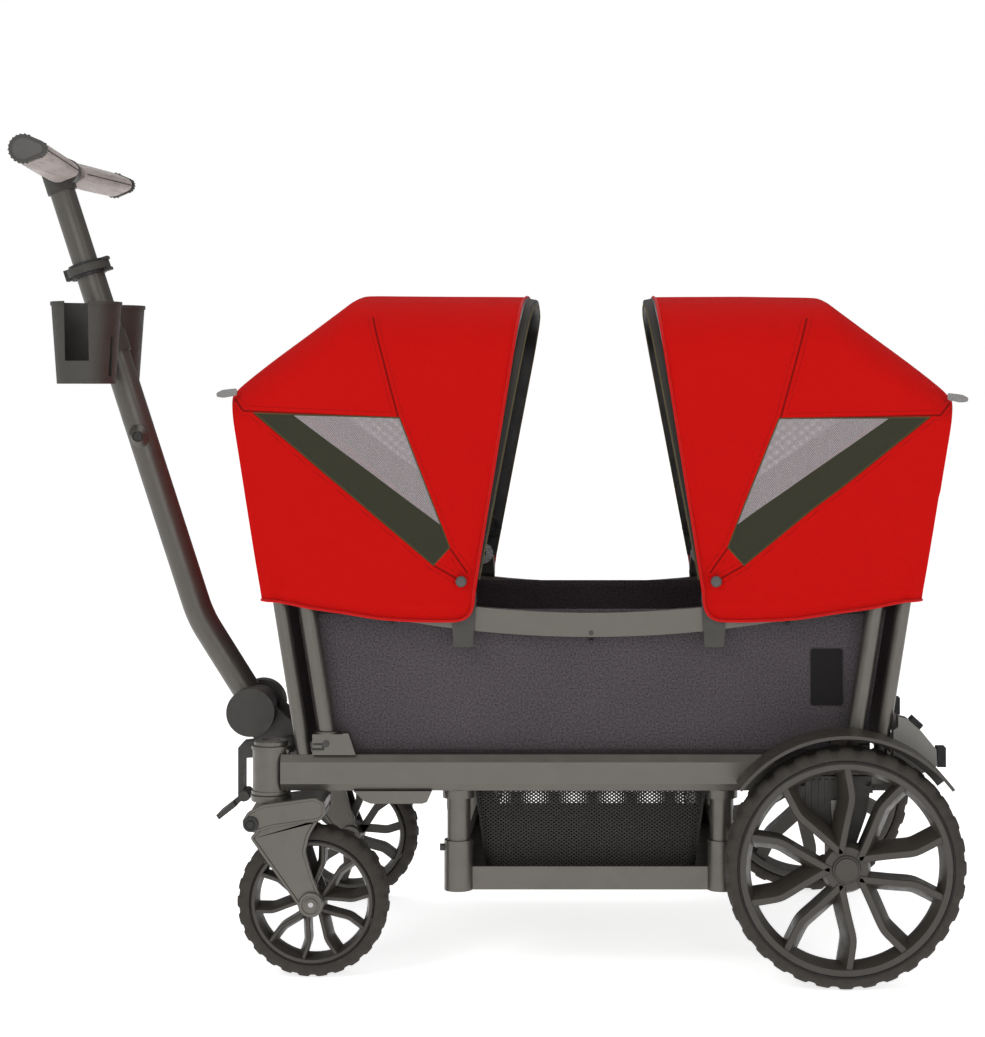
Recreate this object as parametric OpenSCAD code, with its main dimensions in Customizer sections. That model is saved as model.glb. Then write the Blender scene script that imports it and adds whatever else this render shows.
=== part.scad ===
// Kids pull wagon with two folding canopies, a drop footwell and a telescoping pull handle.
// X runs from the pull handle (-X) to the rear (+X), left is -Y, the ground is Z = 0.

/* [Frame] */
// Width over the two side bars
frame_w = 480; // [440:1:560]
// Height of the side bars' underside
bar_z = 232; // [225:1:270]
// Height of a side bar
bar_h = 45; // [36:1:50]
// Thickness of a side bar
bar_t = 24; // [20:1:28]
// Chamfer along a side bar's outer edges
bar_chamfer = 9; // [4:1:10]
// Wall of a side bar
bar_wall = 2.5; // [2:0.5:4]
// From the middle of the tub to the swivel axis of the casters
swivel_dist = 400; // [390:1:480]
// From the middle of the tub to the rear axle
axle_dist = 316; // [310:1:400]
// Outer radius of a head tube
head_r = 23; // [22:0.5:26]
// Height of a head tube
head_h = 60; // [50:1:70]
// Radius of the cross tubes under the deck
cross_r = 12; // [10:0.5:13]
// Thickness of the deck panels
deck_t = 8; // [6:1:12]

/* [Walls] */
// Radius of the side wall posts
post_r = 11; // [9:0.5:12]
// Radius of the end wall posts
end_post_r = 9; // [7:0.5:10]
// Wall of the end wall posts
end_post_wall = 2; // [1.5:0.25:3]
// Lean of the posts, outwards going up
post_lean = 9; // [6:0.5:11]
// Height of the top rail's underside in its middle
rail_z = 423.5; // [400:1:450]
// Height of the top rail's section
rail_h = 30; // [24:1:34]
// Thickness of the top rail
rail_t = 14; // [10:1:16]
// Radius of the dip of the top rail
rail_dip_r = 1400; // [1200:50:2400]
// Thickness of the fabric panels
panel_t = 3; // [2:0.5:4]

/* [Wheels] */
// Diameter of a rear wheel
rear_wheel_d = 292; // [260:1:300]
// Width of a rear wheel
rear_wheel_w = 48; // [40:1:52]
// Diameter of a front wheel
front_wheel_d = 184; // [150:1:186]
// Width of a front wheel
front_wheel_w = 45; // [36:1:46]
// Height of a tyre's section
tyre_h = 15; // [12:0.5:18]
// Radius of the rear axle
axle_r = 8; // [6:0.5:9]
// Radius of a front axle bolt
bolt_r = 5; // [4:0.5:6]
// Distance the front wheels trail behind their swivel axis
trail = 54; // [40:1:58]

/* [Footwell] */
// Width of the tray between the axes of its uprights, along X
tray_l = 331; // [290:1:340]
// Height of the tray's underside
tray_z = 104.5; // [95:1:120]
// Travel of the tray
tray_travel = 45; // [20:1:48]
// Radius of the uprights
upright_r = 15; // [12:0.5:16]

/* [Handle] */
// Height of the handle's pivot
pivot_z = 304; // [296:1:320]
// From the swivel axis forward to the handle's pivot
pivot_reach = 51; // [46:1:70]
// Length from the pivot to the bend
handle_low_l = 149; // [130:1:180]
// Lean of the handle below the bend
lean_low = 32.1; // [28:0.1:34]
// Lean of the handle above the bend
lean_up = 17.9; // [14:0.1:20]
// Length from the bend to the top of the lower tube
handle_mid_l = 499; // [450:1:560]
// Length from the bend to the grip
handle_up_l = 627; // [600:1:680]
// Radius of the lower tube
tube_r = 19; // [18:0.5:21]
// Wall of the lower tube
tube_wall = 2; // [1.5:0.25:2.5]
// Length of the cross grip
grip_l = 530; // [440:5:560]

/* [Cup holders] */
// Radius at the rim of a cup holder
cup_r = 45.5; // [42:0.5:50]
// Height of a cup holder
cup_h = 108; // [90:1:120]
// Gap between a cup holder and the lower tube
cup_gap = 10.5; // [6:0.5:20]
// Wall of a cup holder
cup_wall = 2.5; // [2:0.5:4]
// Distance of a cup holder's axis in front of the tube's axis
cup_reach = 17; // [10:1:24]

/* [Canopies] */
// Distance of a canopy pivot from the middle of the tub
canopy_x = 157; // [150:1:170]
// Height of the canopy pivots
canopy_z = 497; // [490:1:510]
// Length of a bow, from its pivot to its crown
bow_l = 367; // [340:1:380]
// Lean of a bow at rest, towards the middle
bow_lean = 10.8; // [8:0.1:14]
// Distance of a canopy's ridge seam from the middle of the tub
ridge_x = 300; // [290:1:310]
// Distance of a canopy's lower outer corner from the middle of the tub
corner_x = 469; // [450:1:475]
// Height of the corner where a canopy's roof meets its end
corner_z = 740; // [720:5:760]
// Height of a canopy's side hem
hem_z = 446; // [440:1:460]

/* [Fits] */
// Radial clearance of a running fit
running = 0.05; // [0.03:0.01:0.1]
// Gap between pieces that rest on each other
rest = 0.3; // [0.2:0.05:0.4]

/* [Hidden] */
$fn = 64;

SIDES = [-1, 1];
half_w = frame_w / 2;
bar_top = bar_z + bar_h;
bar_y = half_w - bar_t / 2;
inner_y = half_w - bar_t;
caster_y = half_w - 25;
head_z = bar_z - 6;
head_top = head_z + head_h;
rear_r = rear_wheel_d / 2;
front_r = front_wheel_d / 2;
wheel_inner_y = half_w + 12;
hub_bore_r = axle_r + 4;

post_y = half_w - 14;
rail_y = half_w - 10 - rail_t / 2;
rail_mid_x = 3;
front_post_x = -324;
rear_post_x = 330;
front_end_x = front_post_x - 33;
rear_end_x = rear_post_x + 35;
bracket_h = 26;
post_z = bar_top + bracket_h + rest;
wall_top = 486;
lining_y = half_w - 25.5;

deck_z = bar_z + 6 + 2 * cross_r + rest;
deck_top = deck_z + deck_t;
tray_x = -164 + tray_l / 2;
upright_x = [tray_x - tray_l / 2, tray_x + tray_l / 2];
sleeve_r = upright_r + 3;
sleeve_h = 63;
cap_h = 11;
latch_h = 53;
latch_r = 4.5;

pivot_x = -swivel_dist - pivot_reach;
hub_w = 59;
ear_w = 8;
hub_half_w = 60;
pin_r = 8;
low_dir = [-sin(lean_low), 0, cos(lean_low)];
up_dir = [-sin(lean_up), 0, cos(lean_up)];
pivot = [pivot_x, 0, pivot_z];
bend = pivot + handle_low_l * low_dir;
grip_offset = [12, 0, 0];
grip_mid = bend + handle_up_l * up_dir + grip_offset;
grip_sweep = [16, 0, 5];
grip_bar_r = 11;
cup_y = tube_r + cup_gap + cup_r;
inner_r = tube_r - tube_wall - running;
grip_front = grip_mid.x - 24;
body_x = -(grip_front + axle_dist + rear_r) / 2;

leg_pivot = [-20, 193];
leg_t = 5.5;
leg_y = front_wheel_w / 2 + 3.5;
crown_y = leg_y + leg_t + 0.5;
crown_t = 4.5;

bow_w = 26;
bow_t = 8;
bow_y = half_w - 31;
rib_y = bow_y - bow_t - 3;
bow_corner_r = 75;
rib_l = 379;
rib_lean = -21.2;
canopy_top_z = canopy_z + bow_l * cos(bow_lean);
canopy_side = half_w + 4;

// Puts a piece, placed from the middle of the tub, where the whole wagon is centred on X = 0.
module placed() {
    translate([body_x, 0, 0])
        children();
}

// Draws its children on both sides of the wagon, mirrored.
module both_sides() {
    for (s = SIDES)
        scale_y(s)
            children();
}

module scale_y(s) {
    mirror([0, s < 0 ? 1 : 0, 0])
        children();
}

// Mirrors a front piece to the rear of the tub for end = 1.
module at_end(end) {
    mirror([end > 0 ? 1 : 0, 0, 0])
        children();
}

// Extrudes a drawing in X and Z, from y0 to y1.
module along_y(y0, y1) {
    translate([0, y1, 0])
        rotate([90, 0, 0])
            linear_extrude(y1 - y0)
                children();
}

// A rod across Y, from y0 to y1, at x and z.
module cross_rod(x, z, r, y0, y1) {
    translate([x, y1, z])
        rotate([90, 0, 0])
            cylinder(h = y1 - y0, r = r);
}

module box_at(x0, x1, y0, y1, z0, z1) {
    translate([x0, y0, z0])
        cube([x1 - x0, y1 - y0, z1 - z0]);
}

// A round rod of radius r between two points in the plane of X and Z, at y.
module rod(a, b, y, r) {
    d = b - a;
    translate([a.x, y, a.y])
        rotate([0, atan2(d.x, d.y), 0])
            cylinder(h = norm(d), r = r);
}

// A thin round tube between the same two points.
module pipe(a, b, y, r, wall) {
    difference() {
        rod(a, b, y, r);
        rod(a - 0.01 * (b - a), b + 0.01 * (b - a), y, r - wall);
    }
}

// ---------------------------------------------------------------- frame

module bar_section(inset) {
    c = bar_chamfer - inset * 0.6;
    t = bar_t / 2 - inset;
    h = bar_h / 2 - inset;
    polygon([[-t, -h], [t - c * 0.6, -h], [t, c - h], [t, h - c], [t - c * 0.6, h], [-t, h]]);
}

module side_bars() {
    bar_front = -swivel_dist + head_r - 8;
    bar_l = rear_end_x + 15 - bar_front;
    color("#5a5750") placed() both_sides() difference() {
        translate([bar_front, bar_y, bar_z + bar_h / 2])
            rotate([90, 0, 90])
                linear_extrude(bar_l)
                    bar_section(0);
        translate([bar_front - 1, bar_y, bar_z + bar_h / 2])
            rotate([90, 0, 90])
                linear_extrude(bar_l - 4)
                    bar_section(bar_wall);
        translate([-swivel_dist, caster_y, 0])
            cylinder(h = 400, r = head_r + rest);
    }
}

module head_tubes() {
    color("#55524c") placed() both_sides() translate([-swivel_dist, caster_y, head_z]) difference() {
        union() {
            cylinder(h = head_h, r = head_r);
            cylinder(h = 4, r = head_r + 1.5);
            translate([0, 0, head_h - 4])
                cylinder(h = 4, r = head_r + 1.5);
        }
        translate([0, 0, -1])
            cylinder(h = head_h + 2, r = 19);
    }
}

module swivel_bushes() {
    color("#2a2a2a") placed() both_sides() translate([-swivel_dist, caster_y, head_z])
        for (z = [0.5, head_h - 16.5])
            translate([0, 0, z])
                difference() {
                    cylinder(h = 16, r = 19 - running);
                    translate([0, 0, -1])
                        cylinder(h = 18, r = 15 + running);
                }
}

// Front beam between the head tubes, and the tubes that carry the deck.
module cross_tubes() {
    beam_z = bar_z + 24;
    y_end = inner_y - rest;
    color("#4a4843") placed() {
        difference() {
            cross_rod(-swivel_dist, beam_z, 15, -caster_y, caster_y);
            cross_rod(-swivel_dist, beam_z, 12.5, -caster_y - 1, caster_y + 1);
            both_sides()
                translate([-swivel_dist, caster_y, 0])
                    cylinder(h = 400, r = head_r + rest);
        }
        for (x = [-340, upright_x[0] - 30, upright_x[1] + 30, rear_post_x + 2])
            difference() {
                cross_rod(x, bar_z + 6 + cross_r, cross_r, -y_end, y_end);
                cross_rod(x, bar_z + 6 + cross_r, cross_r - 2, -y_end - 1, y_end + 1);
            }
    }
}

module deck_panels() {
    y_end = lining_y - panel_t - rest;
    color("#3c3a38") placed() {
        box_at(-352, upright_x[0] + 14, -y_end, y_end, deck_z, deck_top);
        box_at(upright_x[1] - 14, rear_post_x + 14, -y_end, y_end, deck_z, deck_top);
    }
}

module footwell_uprights() {
    color("#5a5750") placed() both_sides() for (x = upright_x) translate([x, caster_y, 0]) difference() {
        union() {
            translate([0, 0, tray_z + 4])
                cylinder(h = bar_z - rest - tray_z - 4, r = upright_r);
            translate([0, 0, bar_z - rest - cap_h])
                cylinder(h = cap_h, r = upright_r + 5);
        }
        translate([0, 0, tray_z])
            cylinder(h = bar_z, r = upright_r - 2);
        // slot that a pressed latch button enters, as long as the tray's travel
        hull()
            for (up = [0, tray_travel])
                translate([x > tray_x ? 0 : -40, 0, tray_z + latch_h + up])
                    rotate([0, 90, 0])
                        cylinder(h = 40, r = latch_r + 1.5);
    }
}

// ---------------------------------------------------------------- walls

// Point on a post that starts at x0 above the side bar, leaning to dir.
function post_at(x0, dir, z) = [x0 + dir * (z - bar_top) * tan(post_lean), z];

function rail_rise(x) = rail_dip_r - sqrt(rail_dip_r * rail_dip_r - x * x);

module top_rail() {
    reach = [front_post_x - 25 - rail_mid_x, rear_post_x + 25 - rail_mid_x];
    turn = asin(reach[1] / rail_dip_r);
    difference() {
        translate([rail_mid_x, rail_y, rail_z + rail_dip_r])
            rotate([90, 0, 0])
                rotate([0, 0, -90 - turn])
                    rotate_extrude(angle = 2 * turn, $fn = 180)
                        translate([rail_dip_r - rail_h, -rail_t / 2])
                            square([rail_h, rail_t]);
        for (p = [[front_post_x, -1], [rear_post_x, 1]])
            rod(post_at(p[0], p[1], post_z - 5), post_at(p[0], p[1], wall_top + 5), post_y,
                post_r - 0.5);
    }
}

module wall_frame() {
    color("#5d5a54") placed() {
        top_rail();
        for (p = [[front_post_x, -1], [rear_post_x, 1]])
            difference() {
                pipe(post_at(p[0], p[1], bar_top), post_at(p[0], p[1], wall_top), post_y, post_r, 2);
                box_at(p[0] - 40, p[0] + 40, 0, half_w, 0, post_z);
            }
    }
}

module wall_frame_left() {
    scale_y(-1)
        wall_frame();
}

module wall_frame_right() {
    scale_y(1)
        wall_frame();
}

module end_frames() {
    color("#55524c") placed() for (e = [[front_end_x, -1], [rear_end_x, 1]]) {
        top = post_at(e[0], e[1], wall_top - 6);
        bore_top = post_at(e[0], e[1], wall_top - 6 - 2 * end_post_r);
        bore_y = post_y - end_post_r - 1;
        difference() {
            union() {
                both_sides()
                    rod(post_at(e[0], e[1], bar_top - 9), top, post_y, end_post_r);
                cross_rod(top.x, top.y, end_post_r - 1, -post_y, post_y);
            }
            both_sides() {
                box_at(e[0] - 40, e[0] + 40, 0, half_w, 0, bar_top + rest);
                rod(post_at(e[0], e[1], bar_top - 9), bore_top, post_y, end_post_r - end_post_wall);
            }
            cross_rod(top.x, top.y, end_post_r - 1 - end_post_wall, -bore_y, bore_y);
        }
    }
}

module side_panels() {
    top_z = rail_z + rail_h + 4;
    color("#4b4748") placed() both_sides() along_y(lining_y - panel_t, lining_y)
        polygon([
            [front_post_x - 14, deck_top + rest],
            [rear_post_x + 16, deck_top + rest],
            post_at(rear_post_x + 16, 1, top_z),
            post_at(front_post_x - 14, -1, top_z)
        ]);
}

module end_panels() {
    color("#4b4748") placed() for (e = [[front_end_x, -1], [rear_end_x, 1]])
        along_y(-(post_y - end_post_r - 0.6), post_y - end_post_r - 0.6)
            polygon([
                post_at(e[0] - 1.5, e[1], bar_top + 2),
                post_at(e[0] + 1.5, e[1], bar_top + 2),
                post_at(e[0] + 1.5, e[1], wall_top - 16),
                post_at(e[0] - 1.5, e[1], wall_top - 16)
            ]);
}

// Feet of the side wall posts, with a gusset on the tub's side, and the guards below the bars.
module frame_brackets() {
    color("#3a3834") placed() both_sides() {
        for (p = [[front_post_x, 1], [rear_post_x, -1]])
            translate([p[0], 0, 0])
                mirror([p[1] < 0 ? 1 : 0, 0, 0]) {
                    box_at(-21, 17, inner_y, half_w, bar_top + rest, bar_top + bracket_h);
                    along_y(half_w - 16, half_w)
                        polygon([[17, bar_top + rest], [33, bar_top + rest], [24, bar_top + 27], [17, bar_top + 27]]);
                }
        along_y(inner_y + 2, half_w - 2)
            polygon([
                [-294, bar_z - rest], [-196, bar_z - rest], [-202, bar_z - 14],
                [-208, bar_z - 16], [-272, bar_z - 16], [-280, bar_z - 13]
            ]);
    }
}

// Clips on the top rail that carry the canopy pivots.
module canopy_clamps() {
    color("#3a3834") placed() for (e = SIDES) at_end(e) both_sides() {
        outer = rail_y + rail_t / 2;
        eye_y = bow_y + bow_t / 2 + rest;
        translate([-canopy_x, 0, 0]) {
            along_y(outer + rest, outer + 6)
                polygon([[-12, rail_z - 12], [12, rail_z - 12], [16, rail_z + 46], [-16, rail_z + 46]]);
            along_y(eye_y, outer + 6)
                polygon([[-16, rail_z + 43], [16, rail_z + 43], [14, canopy_z], [-14, canopy_z]]);
            cross_rod(0, canopy_z, 16, eye_y, outer + 6);
            cross_rod(0, canopy_z, 5, rib_y - bow_t / 2 - 3, eye_y + 1);
        }
    }
}

// ---------------------------------------------------------------- rear end

// Ring sector in the plane of X and Z, between two radii and two angles, from y0 to y1.
module arc_band(r0, r1, a0, a1, y0, y1) {
    translate([0, y1, 0])
        rotate([90, 0, 0])
            rotate([0, 0, a0])
                rotate_extrude(angle = a1 - a0, $fn = 120)
                    translate([r0, 0])
                        square([r1 - r0, y1 - y0]);
}

module fenders() {
    fender_r = rear_r + 19;
    color("#55524c") placed() both_sides() translate([axle_dist, 0, rear_r]) {
        arc_band(fender_r - 4, fender_r, 37, 143, half_w + rest, half_w + 66);
        arc_band(fender_r - 14, fender_r - 3.9, 38, 142, half_w + rest, half_w + 3.3);
    }
}

// Ribbed housings that carry the rear axle inboard of the wheels.
module rear_housings() {
    inner = half_w - 40;
    outer = half_w + 7;
    color("#3a3834") placed() both_sides() difference() {
        translate([axle_dist, 0, 0]) {
            along_y(inner, outer)
                polygon([
                    [-52, bar_z - rest], [34, bar_z - rest], [30, 205], [18, 170], [18, rear_r],
                    [-18, rear_r], [-18, 170], [-42, 195]
                ]);
            cross_rod(0, rear_r, 18, inner, outer);
            along_y(half_w + rest, outer)
                polygon([[-56, bar_z - 1], [38, bar_z - 1], [36, bar_z + 20], [-54, bar_z + 20]]);
            for (i = [0:5])
                along_y(outer - 1, outer + 2)
                    translate([-46 + 8 * i, 0])
                        polygon([[0, 212], [3, 212], [3, 248], [0, 248]]);
        }
        cross_rod(axle_dist, rear_r, axle_r + running, 0, half_w + 60);
        for (x = [-50, 32])
            cross_rod(axle_dist + x, bar_z + 11, 3.5, half_w + 1, half_w + 60);
        // seat of the brake lever's pin
        cross_rod(axle_dist - 7, 201, 3 + running, outer - 12, half_w + 60);
    }
}

module rear_axle() {
    reach = wheel_inner_y + rear_wheel_w - 4;
    color("#8a8a8a") placed() {
        cross_rod(axle_dist, rear_r, axle_r, -reach, reach);
        for (s = SIDES)
            scale_y(s)
                difference() {
                    cross_rod(axle_dist, rear_r, 14, half_w - 60, half_w - 40 - rest);
                    cross_rod(axle_dist, rear_r, axle_r - 1, 0, half_w);
                }
    }
}

// Bushes on the axle ends that the rear hubs turn on.
module rear_bushes() {
    color("#2a2a2a") placed() both_sides() for (y = [1, rear_wheel_w - 19])
        difference() {
            cross_rod(axle_dist, rear_r, hub_bore_r, wheel_inner_y + y, wheel_inner_y + y + 14);
            cross_rod(axle_dist, rear_r, axle_r + running, 0, wheel_inner_y + 60);
        }
}

module bumper_bracket() {
    x0 = rear_end_x + 15 + rest;
    cross_x = 417;
    cross_z = 275;
    color("#8a8880") placed() {
        both_sides()
            along_y(inner_y, half_w)
                polygon([
                    [x0, bar_top - 30], [x0 + 14, bar_top - 30], [427, 258], [435, 264],
                    [434, 284], [416, 306], [398, 322], [x0 + 6, 325], [x0 + 6, 312], [x0, 308]
                ]);
        cross_rod(cross_x, cross_z, 9, -inner_y - 1, inner_y + 1);
    }
}

module bumper_pads() {
    color("#202020") placed() both_sides() {
        box_at(435 + rest, 446, inner_y, half_w, 262, 286);
        along_y(inner_y, half_w)
            polygon([[401.2, 319.6], [413.2, 308.9], [417.8, 314.1], [405.8, 324.8]]);
    }
}

// A turning lever on the housing's outer face that sets the parking brake.
module brake_lever() {
    face = half_w + 7 + rest + 2;
    color("#8a8880") placed() scale_y(-1) translate([axle_dist - 7, 0, 201]) {
        along_y(face, face + 3)
            polygon([[-6, -14], [6, -14], [8, 22], [-8, 22]]);
        cross_rod(0, 0, 3, face - 13, face + 4);
    }
}

// ---------------------------------------------------------------- wheels

// One spoke: from the hub, a kink at mid radius, then out to the rim. side picks its twin.
module spoke(r_hub, r_rim, w, side) {
    function at(r, a) = [r * cos(a), side * r * sin(a)];
    a = at(r_hub, 29);
    b = at(r_rim * 0.66, 11.5);
    c = at(r_rim, 19.5);
    n1 = [a.y - b.y, b.x - a.x] / norm(b - a) * w / 2;
    n2 = [b.y - c.y, c.x - b.x] / norm(c - b) * w / 2;
    nm = (n1 + n2) / norm(n1 + n2) * w / 2;
    polygon([a - n1, b - nm, c - n2, c + n2, b + nm, a + n1]);
}

// A rim about Z, its face towards +Z, between z = 0 and z = w.
module rim(r_out, w, r_hub, r_bore, spoke_w, phase, k) {
    lip = k * 13;
    difference() {
        union() {
            difference() {
                cylinder(h = w, r = r_out, $fn = 128);
                translate([0, 0, -1])
                    cylinder(h = w + 2, r = r_out - lip, $fn = 128);
            }
            cylinder(h = w, r = r_hub);
            translate([0, 0, w - 26 * k])
                linear_extrude(15 * k)
                    for (i = [0:4])
                        for (s = SIDES)
                            rotate(72 * i + phase)
                                spoke(r_hub * 0.8, r_out - lip * 0.6, spoke_w, s);
        }
        translate([0, 0, -1])
            cylinder(h = w - 3, r = r_bore);
    }
}

// A tyre about Z: an open ring with rounded shoulders.
module tyre(r_out, w, h) {
    rotate_extrude($fn = 180)
        translate([r_out - h + rest, 0])
            polygon([
                [0, 2], [4, 0], [h - 6, 0], [h - 2.5, 4], [h - rest, 11], [h - rest, w - 11],
                [h - 2.5, w - 4], [h - 6, w], [4, w], [0, w - 2]
            ]);
}

// Lays a wheel that is drawn about Z on its axle: side -1 faces left, 1 faces right.
module on_axle(x, y, z, side) {
    translate([x, side * y, z])
        rotate([side < 0 ? 90 : -90, 0, 0])
            mirror([0, side < 0 ? 0 : 1, 0])
                children();
}

module rear_rim(side) {
    color("#3e3a34") placed() on_axle(axle_dist, wheel_inner_y, rear_r, side)
        rim(rear_r - tyre_h, rear_wheel_w, 22, hub_bore_r + running, 13, 1.5, 1);
}

module rear_tyre(side) {
    color("#2c2a27") placed() on_axle(axle_dist, wheel_inner_y, rear_r, side)
        tyre(rear_r, rear_wheel_w, tyre_h);
}

module rear_rim_left() { rear_rim(-1); }
module rear_rim_right() { rear_rim(1); }
module rear_tyre_left() { rear_tyre(-1); }
module rear_tyre_right() { rear_tyre(1); }

// ---------------------------------------------------------------- casters

// Places a caster piece that is drawn about its swivel axis.
module on_swivel(side) {
    placed()
        translate([-swivel_dist, side * caster_y, 0])
            children();
}

module caster_crown(side) {
    color("#45423d") on_swivel(side) {
        translate([0, 0, head_z - rest - 9])
            cylinder(h = 9, r = head_r + 2);
        translate([0, 0, head_z - rest - 1])
            cylinder(h = head_h + 2 * rest + 4, r = 15);
        translate([0, 0, head_top + rest])
            cylinder(h = 6, r = head_r - 2);
        difference() {
            union() {
                for (s = SIDES)
                    scale_y(s) {
                        along_y(crown_y, crown_y + crown_t)
                            polygon([
                                [-30, 188], [-24, 183], [-12, 184], [8, 190], [66, 197], [72, 204],
                                [72, 220], [60, 225], [-6, 217], [-24, 208], [-31, 196]
                            ]);
                        cross_rod(leg_pivot.x, leg_pivot.y, 11, crown_y, crown_y + crown_t);
                    }
                along_y(-crown_y - 0.5, crown_y + 0.5)
                    polygon([[-14, 209], [71, 209], [71, 220], [60, 225], [-6, 217]]);
            }
            cross_rod(leg_pivot.x, leg_pivot.y, bolt_r + running, -60, 60);
        }
        cross_rod(leg_pivot.x, leg_pivot.y, bolt_r, -crown_y - crown_t - 1, crown_y + crown_t + 1);
    }
}

module caster_leg(side) {
    hub_z = front_r;
    color("#514d47") on_swivel(side) difference() {
        union() {
            for (s = SIDES)
                scale_y(s) {
                    along_y(leg_y, leg_y + leg_t)
                        polygon([
                            [-31, 190], [-29, 174], [trail - 11, hub_z + 6], [trail + 11, hub_z + 4],
                            [trail - 4, 172], [trail + 9, 199], [20, 203], [-20, 203]
                        ]);
                    cross_rod(trail, hub_z, 12, leg_y, leg_y + leg_t);
                    cross_rod(leg_pivot.x, leg_pivot.y, 10, leg_y, leg_y + leg_t);
                }
            along_y(-leg_y - 0.5, leg_y + 0.5)
                polygon([[-29, 172], [-27, 158], [-21, 158], [-9, 172], [-9, 182], [-29, 182]]);
        }
        cross_rod(leg_pivot.x, leg_pivot.y, bolt_r + running, -60, 60);
        cross_rod(trail, hub_z, bolt_r + running, -60, 60);
    }
}

module front_axle(side) {
    end_y = leg_y + leg_t + rest;
    color("#8a8a8a") on_swivel(side) {
        cross_rod(trail, front_r, bolt_r, -end_y, end_y);
        for (s = SIDES)
            scale_y(s)
                cross_rod(trail, front_r, 8, end_y - 0.1, end_y + 3);
    }
}

module front_rim(side) {
    half = front_wheel_w / 2;
    color("#3e3a34") placed() on_axle(trail - swivel_dist, caster_y - half, front_r, side)
        difference() {
            rim(front_r - tyre_h, front_wheel_w, 12, bolt_r + running, 8, 26, 0.68);
            cylinder(h = 100, r = bolt_r + running);
        }
}

module front_tyre(side) {
    half = front_wheel_w / 2;
    color("#2c2a27") placed() on_axle(trail - swivel_dist, caster_y - half, front_r, side)
        tyre(front_r, front_wheel_w, tyre_h);
}

module caster_crown_left() { caster_crown(-1); }
module caster_crown_right() { caster_crown(1); }
module caster_leg_left() { caster_leg(-1); }
module caster_leg_right() { caster_leg(1); }
module front_axle_left() { front_axle(-1); }
module front_axle_right() { front_axle(1); }
module front_rim_left() { front_rim(-1); }
module front_rim_right() { front_rim(1); }
module front_tyre_left() { front_tyre(-1); }
module front_tyre_right() { front_tyre(1); }

// ---------------------------------------------------------------- handle

// Yoke from the front beam up to the handle's pivot, its two round housings and the pedal link.
module handle_yoke() {
    beam = [-swivel_dist, bar_z + 24];
    ear_in = hub_w / 2 + rest;
    link_x = pivot_x - 17;
    color("#45423d") placed() difference() {
        union() {
            both_sides() {
                along_y(ear_in, ear_in + ear_w)
                    polygon([
                        beam + [18, -14], beam + [20, 18], [pivot_x + 18, pivot_z + 14],
                        [pivot_x - 14, pivot_z + 16], [pivot_x - 24, pivot_z - 12], beam + [-20, -18]
                    ]);
                cross_rod(pivot_x, pivot_z, 32, ear_in + ear_w - 0.5, hub_half_w);
            }
            along_y(-ear_in - 1, ear_in + 1)
                polygon([beam + [-18, -18], beam + [19, -14], beam + [20, 14], beam + [-18, 10]]);
            along_y(-12, 12)
                polygon([
                    beam + [-17, 8], [link_x, 258], [link_x - 7, 250], [link_x - 7, 182],
                    [link_x + 1, 182], [link_x + 1, 236], beam + [-17, -16]
                ]);
            cross_rod(link_x + 2, 186, 8, -12, 12);
        }
        cross_rod(beam.x, beam.y, 15 + rest, -100, 100);
        cross_rod(pivot_x, pivot_z, pin_r, -hub_half_w + 4, hub_half_w - 4);
        cross_rod(link_x + 2, 186, 3 + running, -20, 20);
    }
}

module handle_pin() {
    color("#8a8a8a") placed()
        cross_rod(pivot_x, pivot_z, pin_r, -hub_half_w + 4, hub_half_w - 4);
}

module handle_hub() {
    color("#45423d") placed() difference() {
        cross_rod(pivot_x, pivot_z, 26, -hub_w / 2, hub_w / 2);
        cross_rod(pivot_x, pivot_z, pin_r + running, -hub_w, hub_w);
    }
}

// The handle's outline: two straight rods that meet in a knuckle at the bend.
module bent_rod(r) {
    translate(pivot)
        rotate([0, -lean_low, 0])
            cylinder(h = handle_low_l, r = r);
    translate(bend)
        sphere(r + 1);
    translate(bend)
        rotate([0, -lean_up, 0])
            cylinder(h = handle_mid_l, r = r);
}

// Draws along the upper handle: the origin is the bend and +Z runs up the tube.
module up_handle(dist) {
    placed()
        translate(bend + dist * up_dir)
            rotate([0, -lean_up, 0])
                children();
}

module handle_tube() {
    plug = 30;
    color("#524f49") difference() {
        union() {
            placed()
                bent_rod(tube_r);
            up_handle(252)
                translate([0, -tube_r - 1.5, 0])
                    rotate([90, 0, 0])
                        translate([0, 0, -6])
                            cylinder(h = 8, r = 11);
        }
        placed() {
            cross_rod(pivot_x, pivot_z, 26 + rest, -50, 50);
            translate(pivot)
                rotate([0, -lean_low, 0])
                    cylinder(h = handle_low_l - plug, r = tube_r - tube_wall);
        }
        up_handle(plug)
            cylinder(h = handle_mid_l, r = tube_r - tube_wall);
        up_handle(252)
            rotate([90, 0, 0])
                cylinder(h = 60, r = 6 + running);
    }
}

module tube_button() {
    color("#2a2a2a") up_handle(252)
        rotate([90, 0, 0])
            translate([0, 0, tube_r + 0.4])
                cylinder(h = 5, r = 6);
}

module clamp_collar() {
    color("#2c2a28") up_handle(handle_mid_l - 20) {
        difference() {
            union() {
                cylinder(h = 19, r = tube_r + 5);
                translate([tube_r - 3, -8, 0])
                    cube([16, 16, 19]);
                translate([-tube_r - 12, -7, 2])
                    cube([12, 14, 15]);
            }
            translate([0, 0, -1])
                cylinder(h = 21, r = tube_r + rest);
            // slot and pin hole of the lever
            translate([tube_r + 5, -12, 4])
                cube([20, 28, 11]);
            translate([tube_r + 9, 0, -1])
                cylinder(h = 30, r = 2 + running);
        }
        translate([tube_r + 9, 0, 1])
            cylinder(h = 17, r = 2);
    }
}

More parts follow.
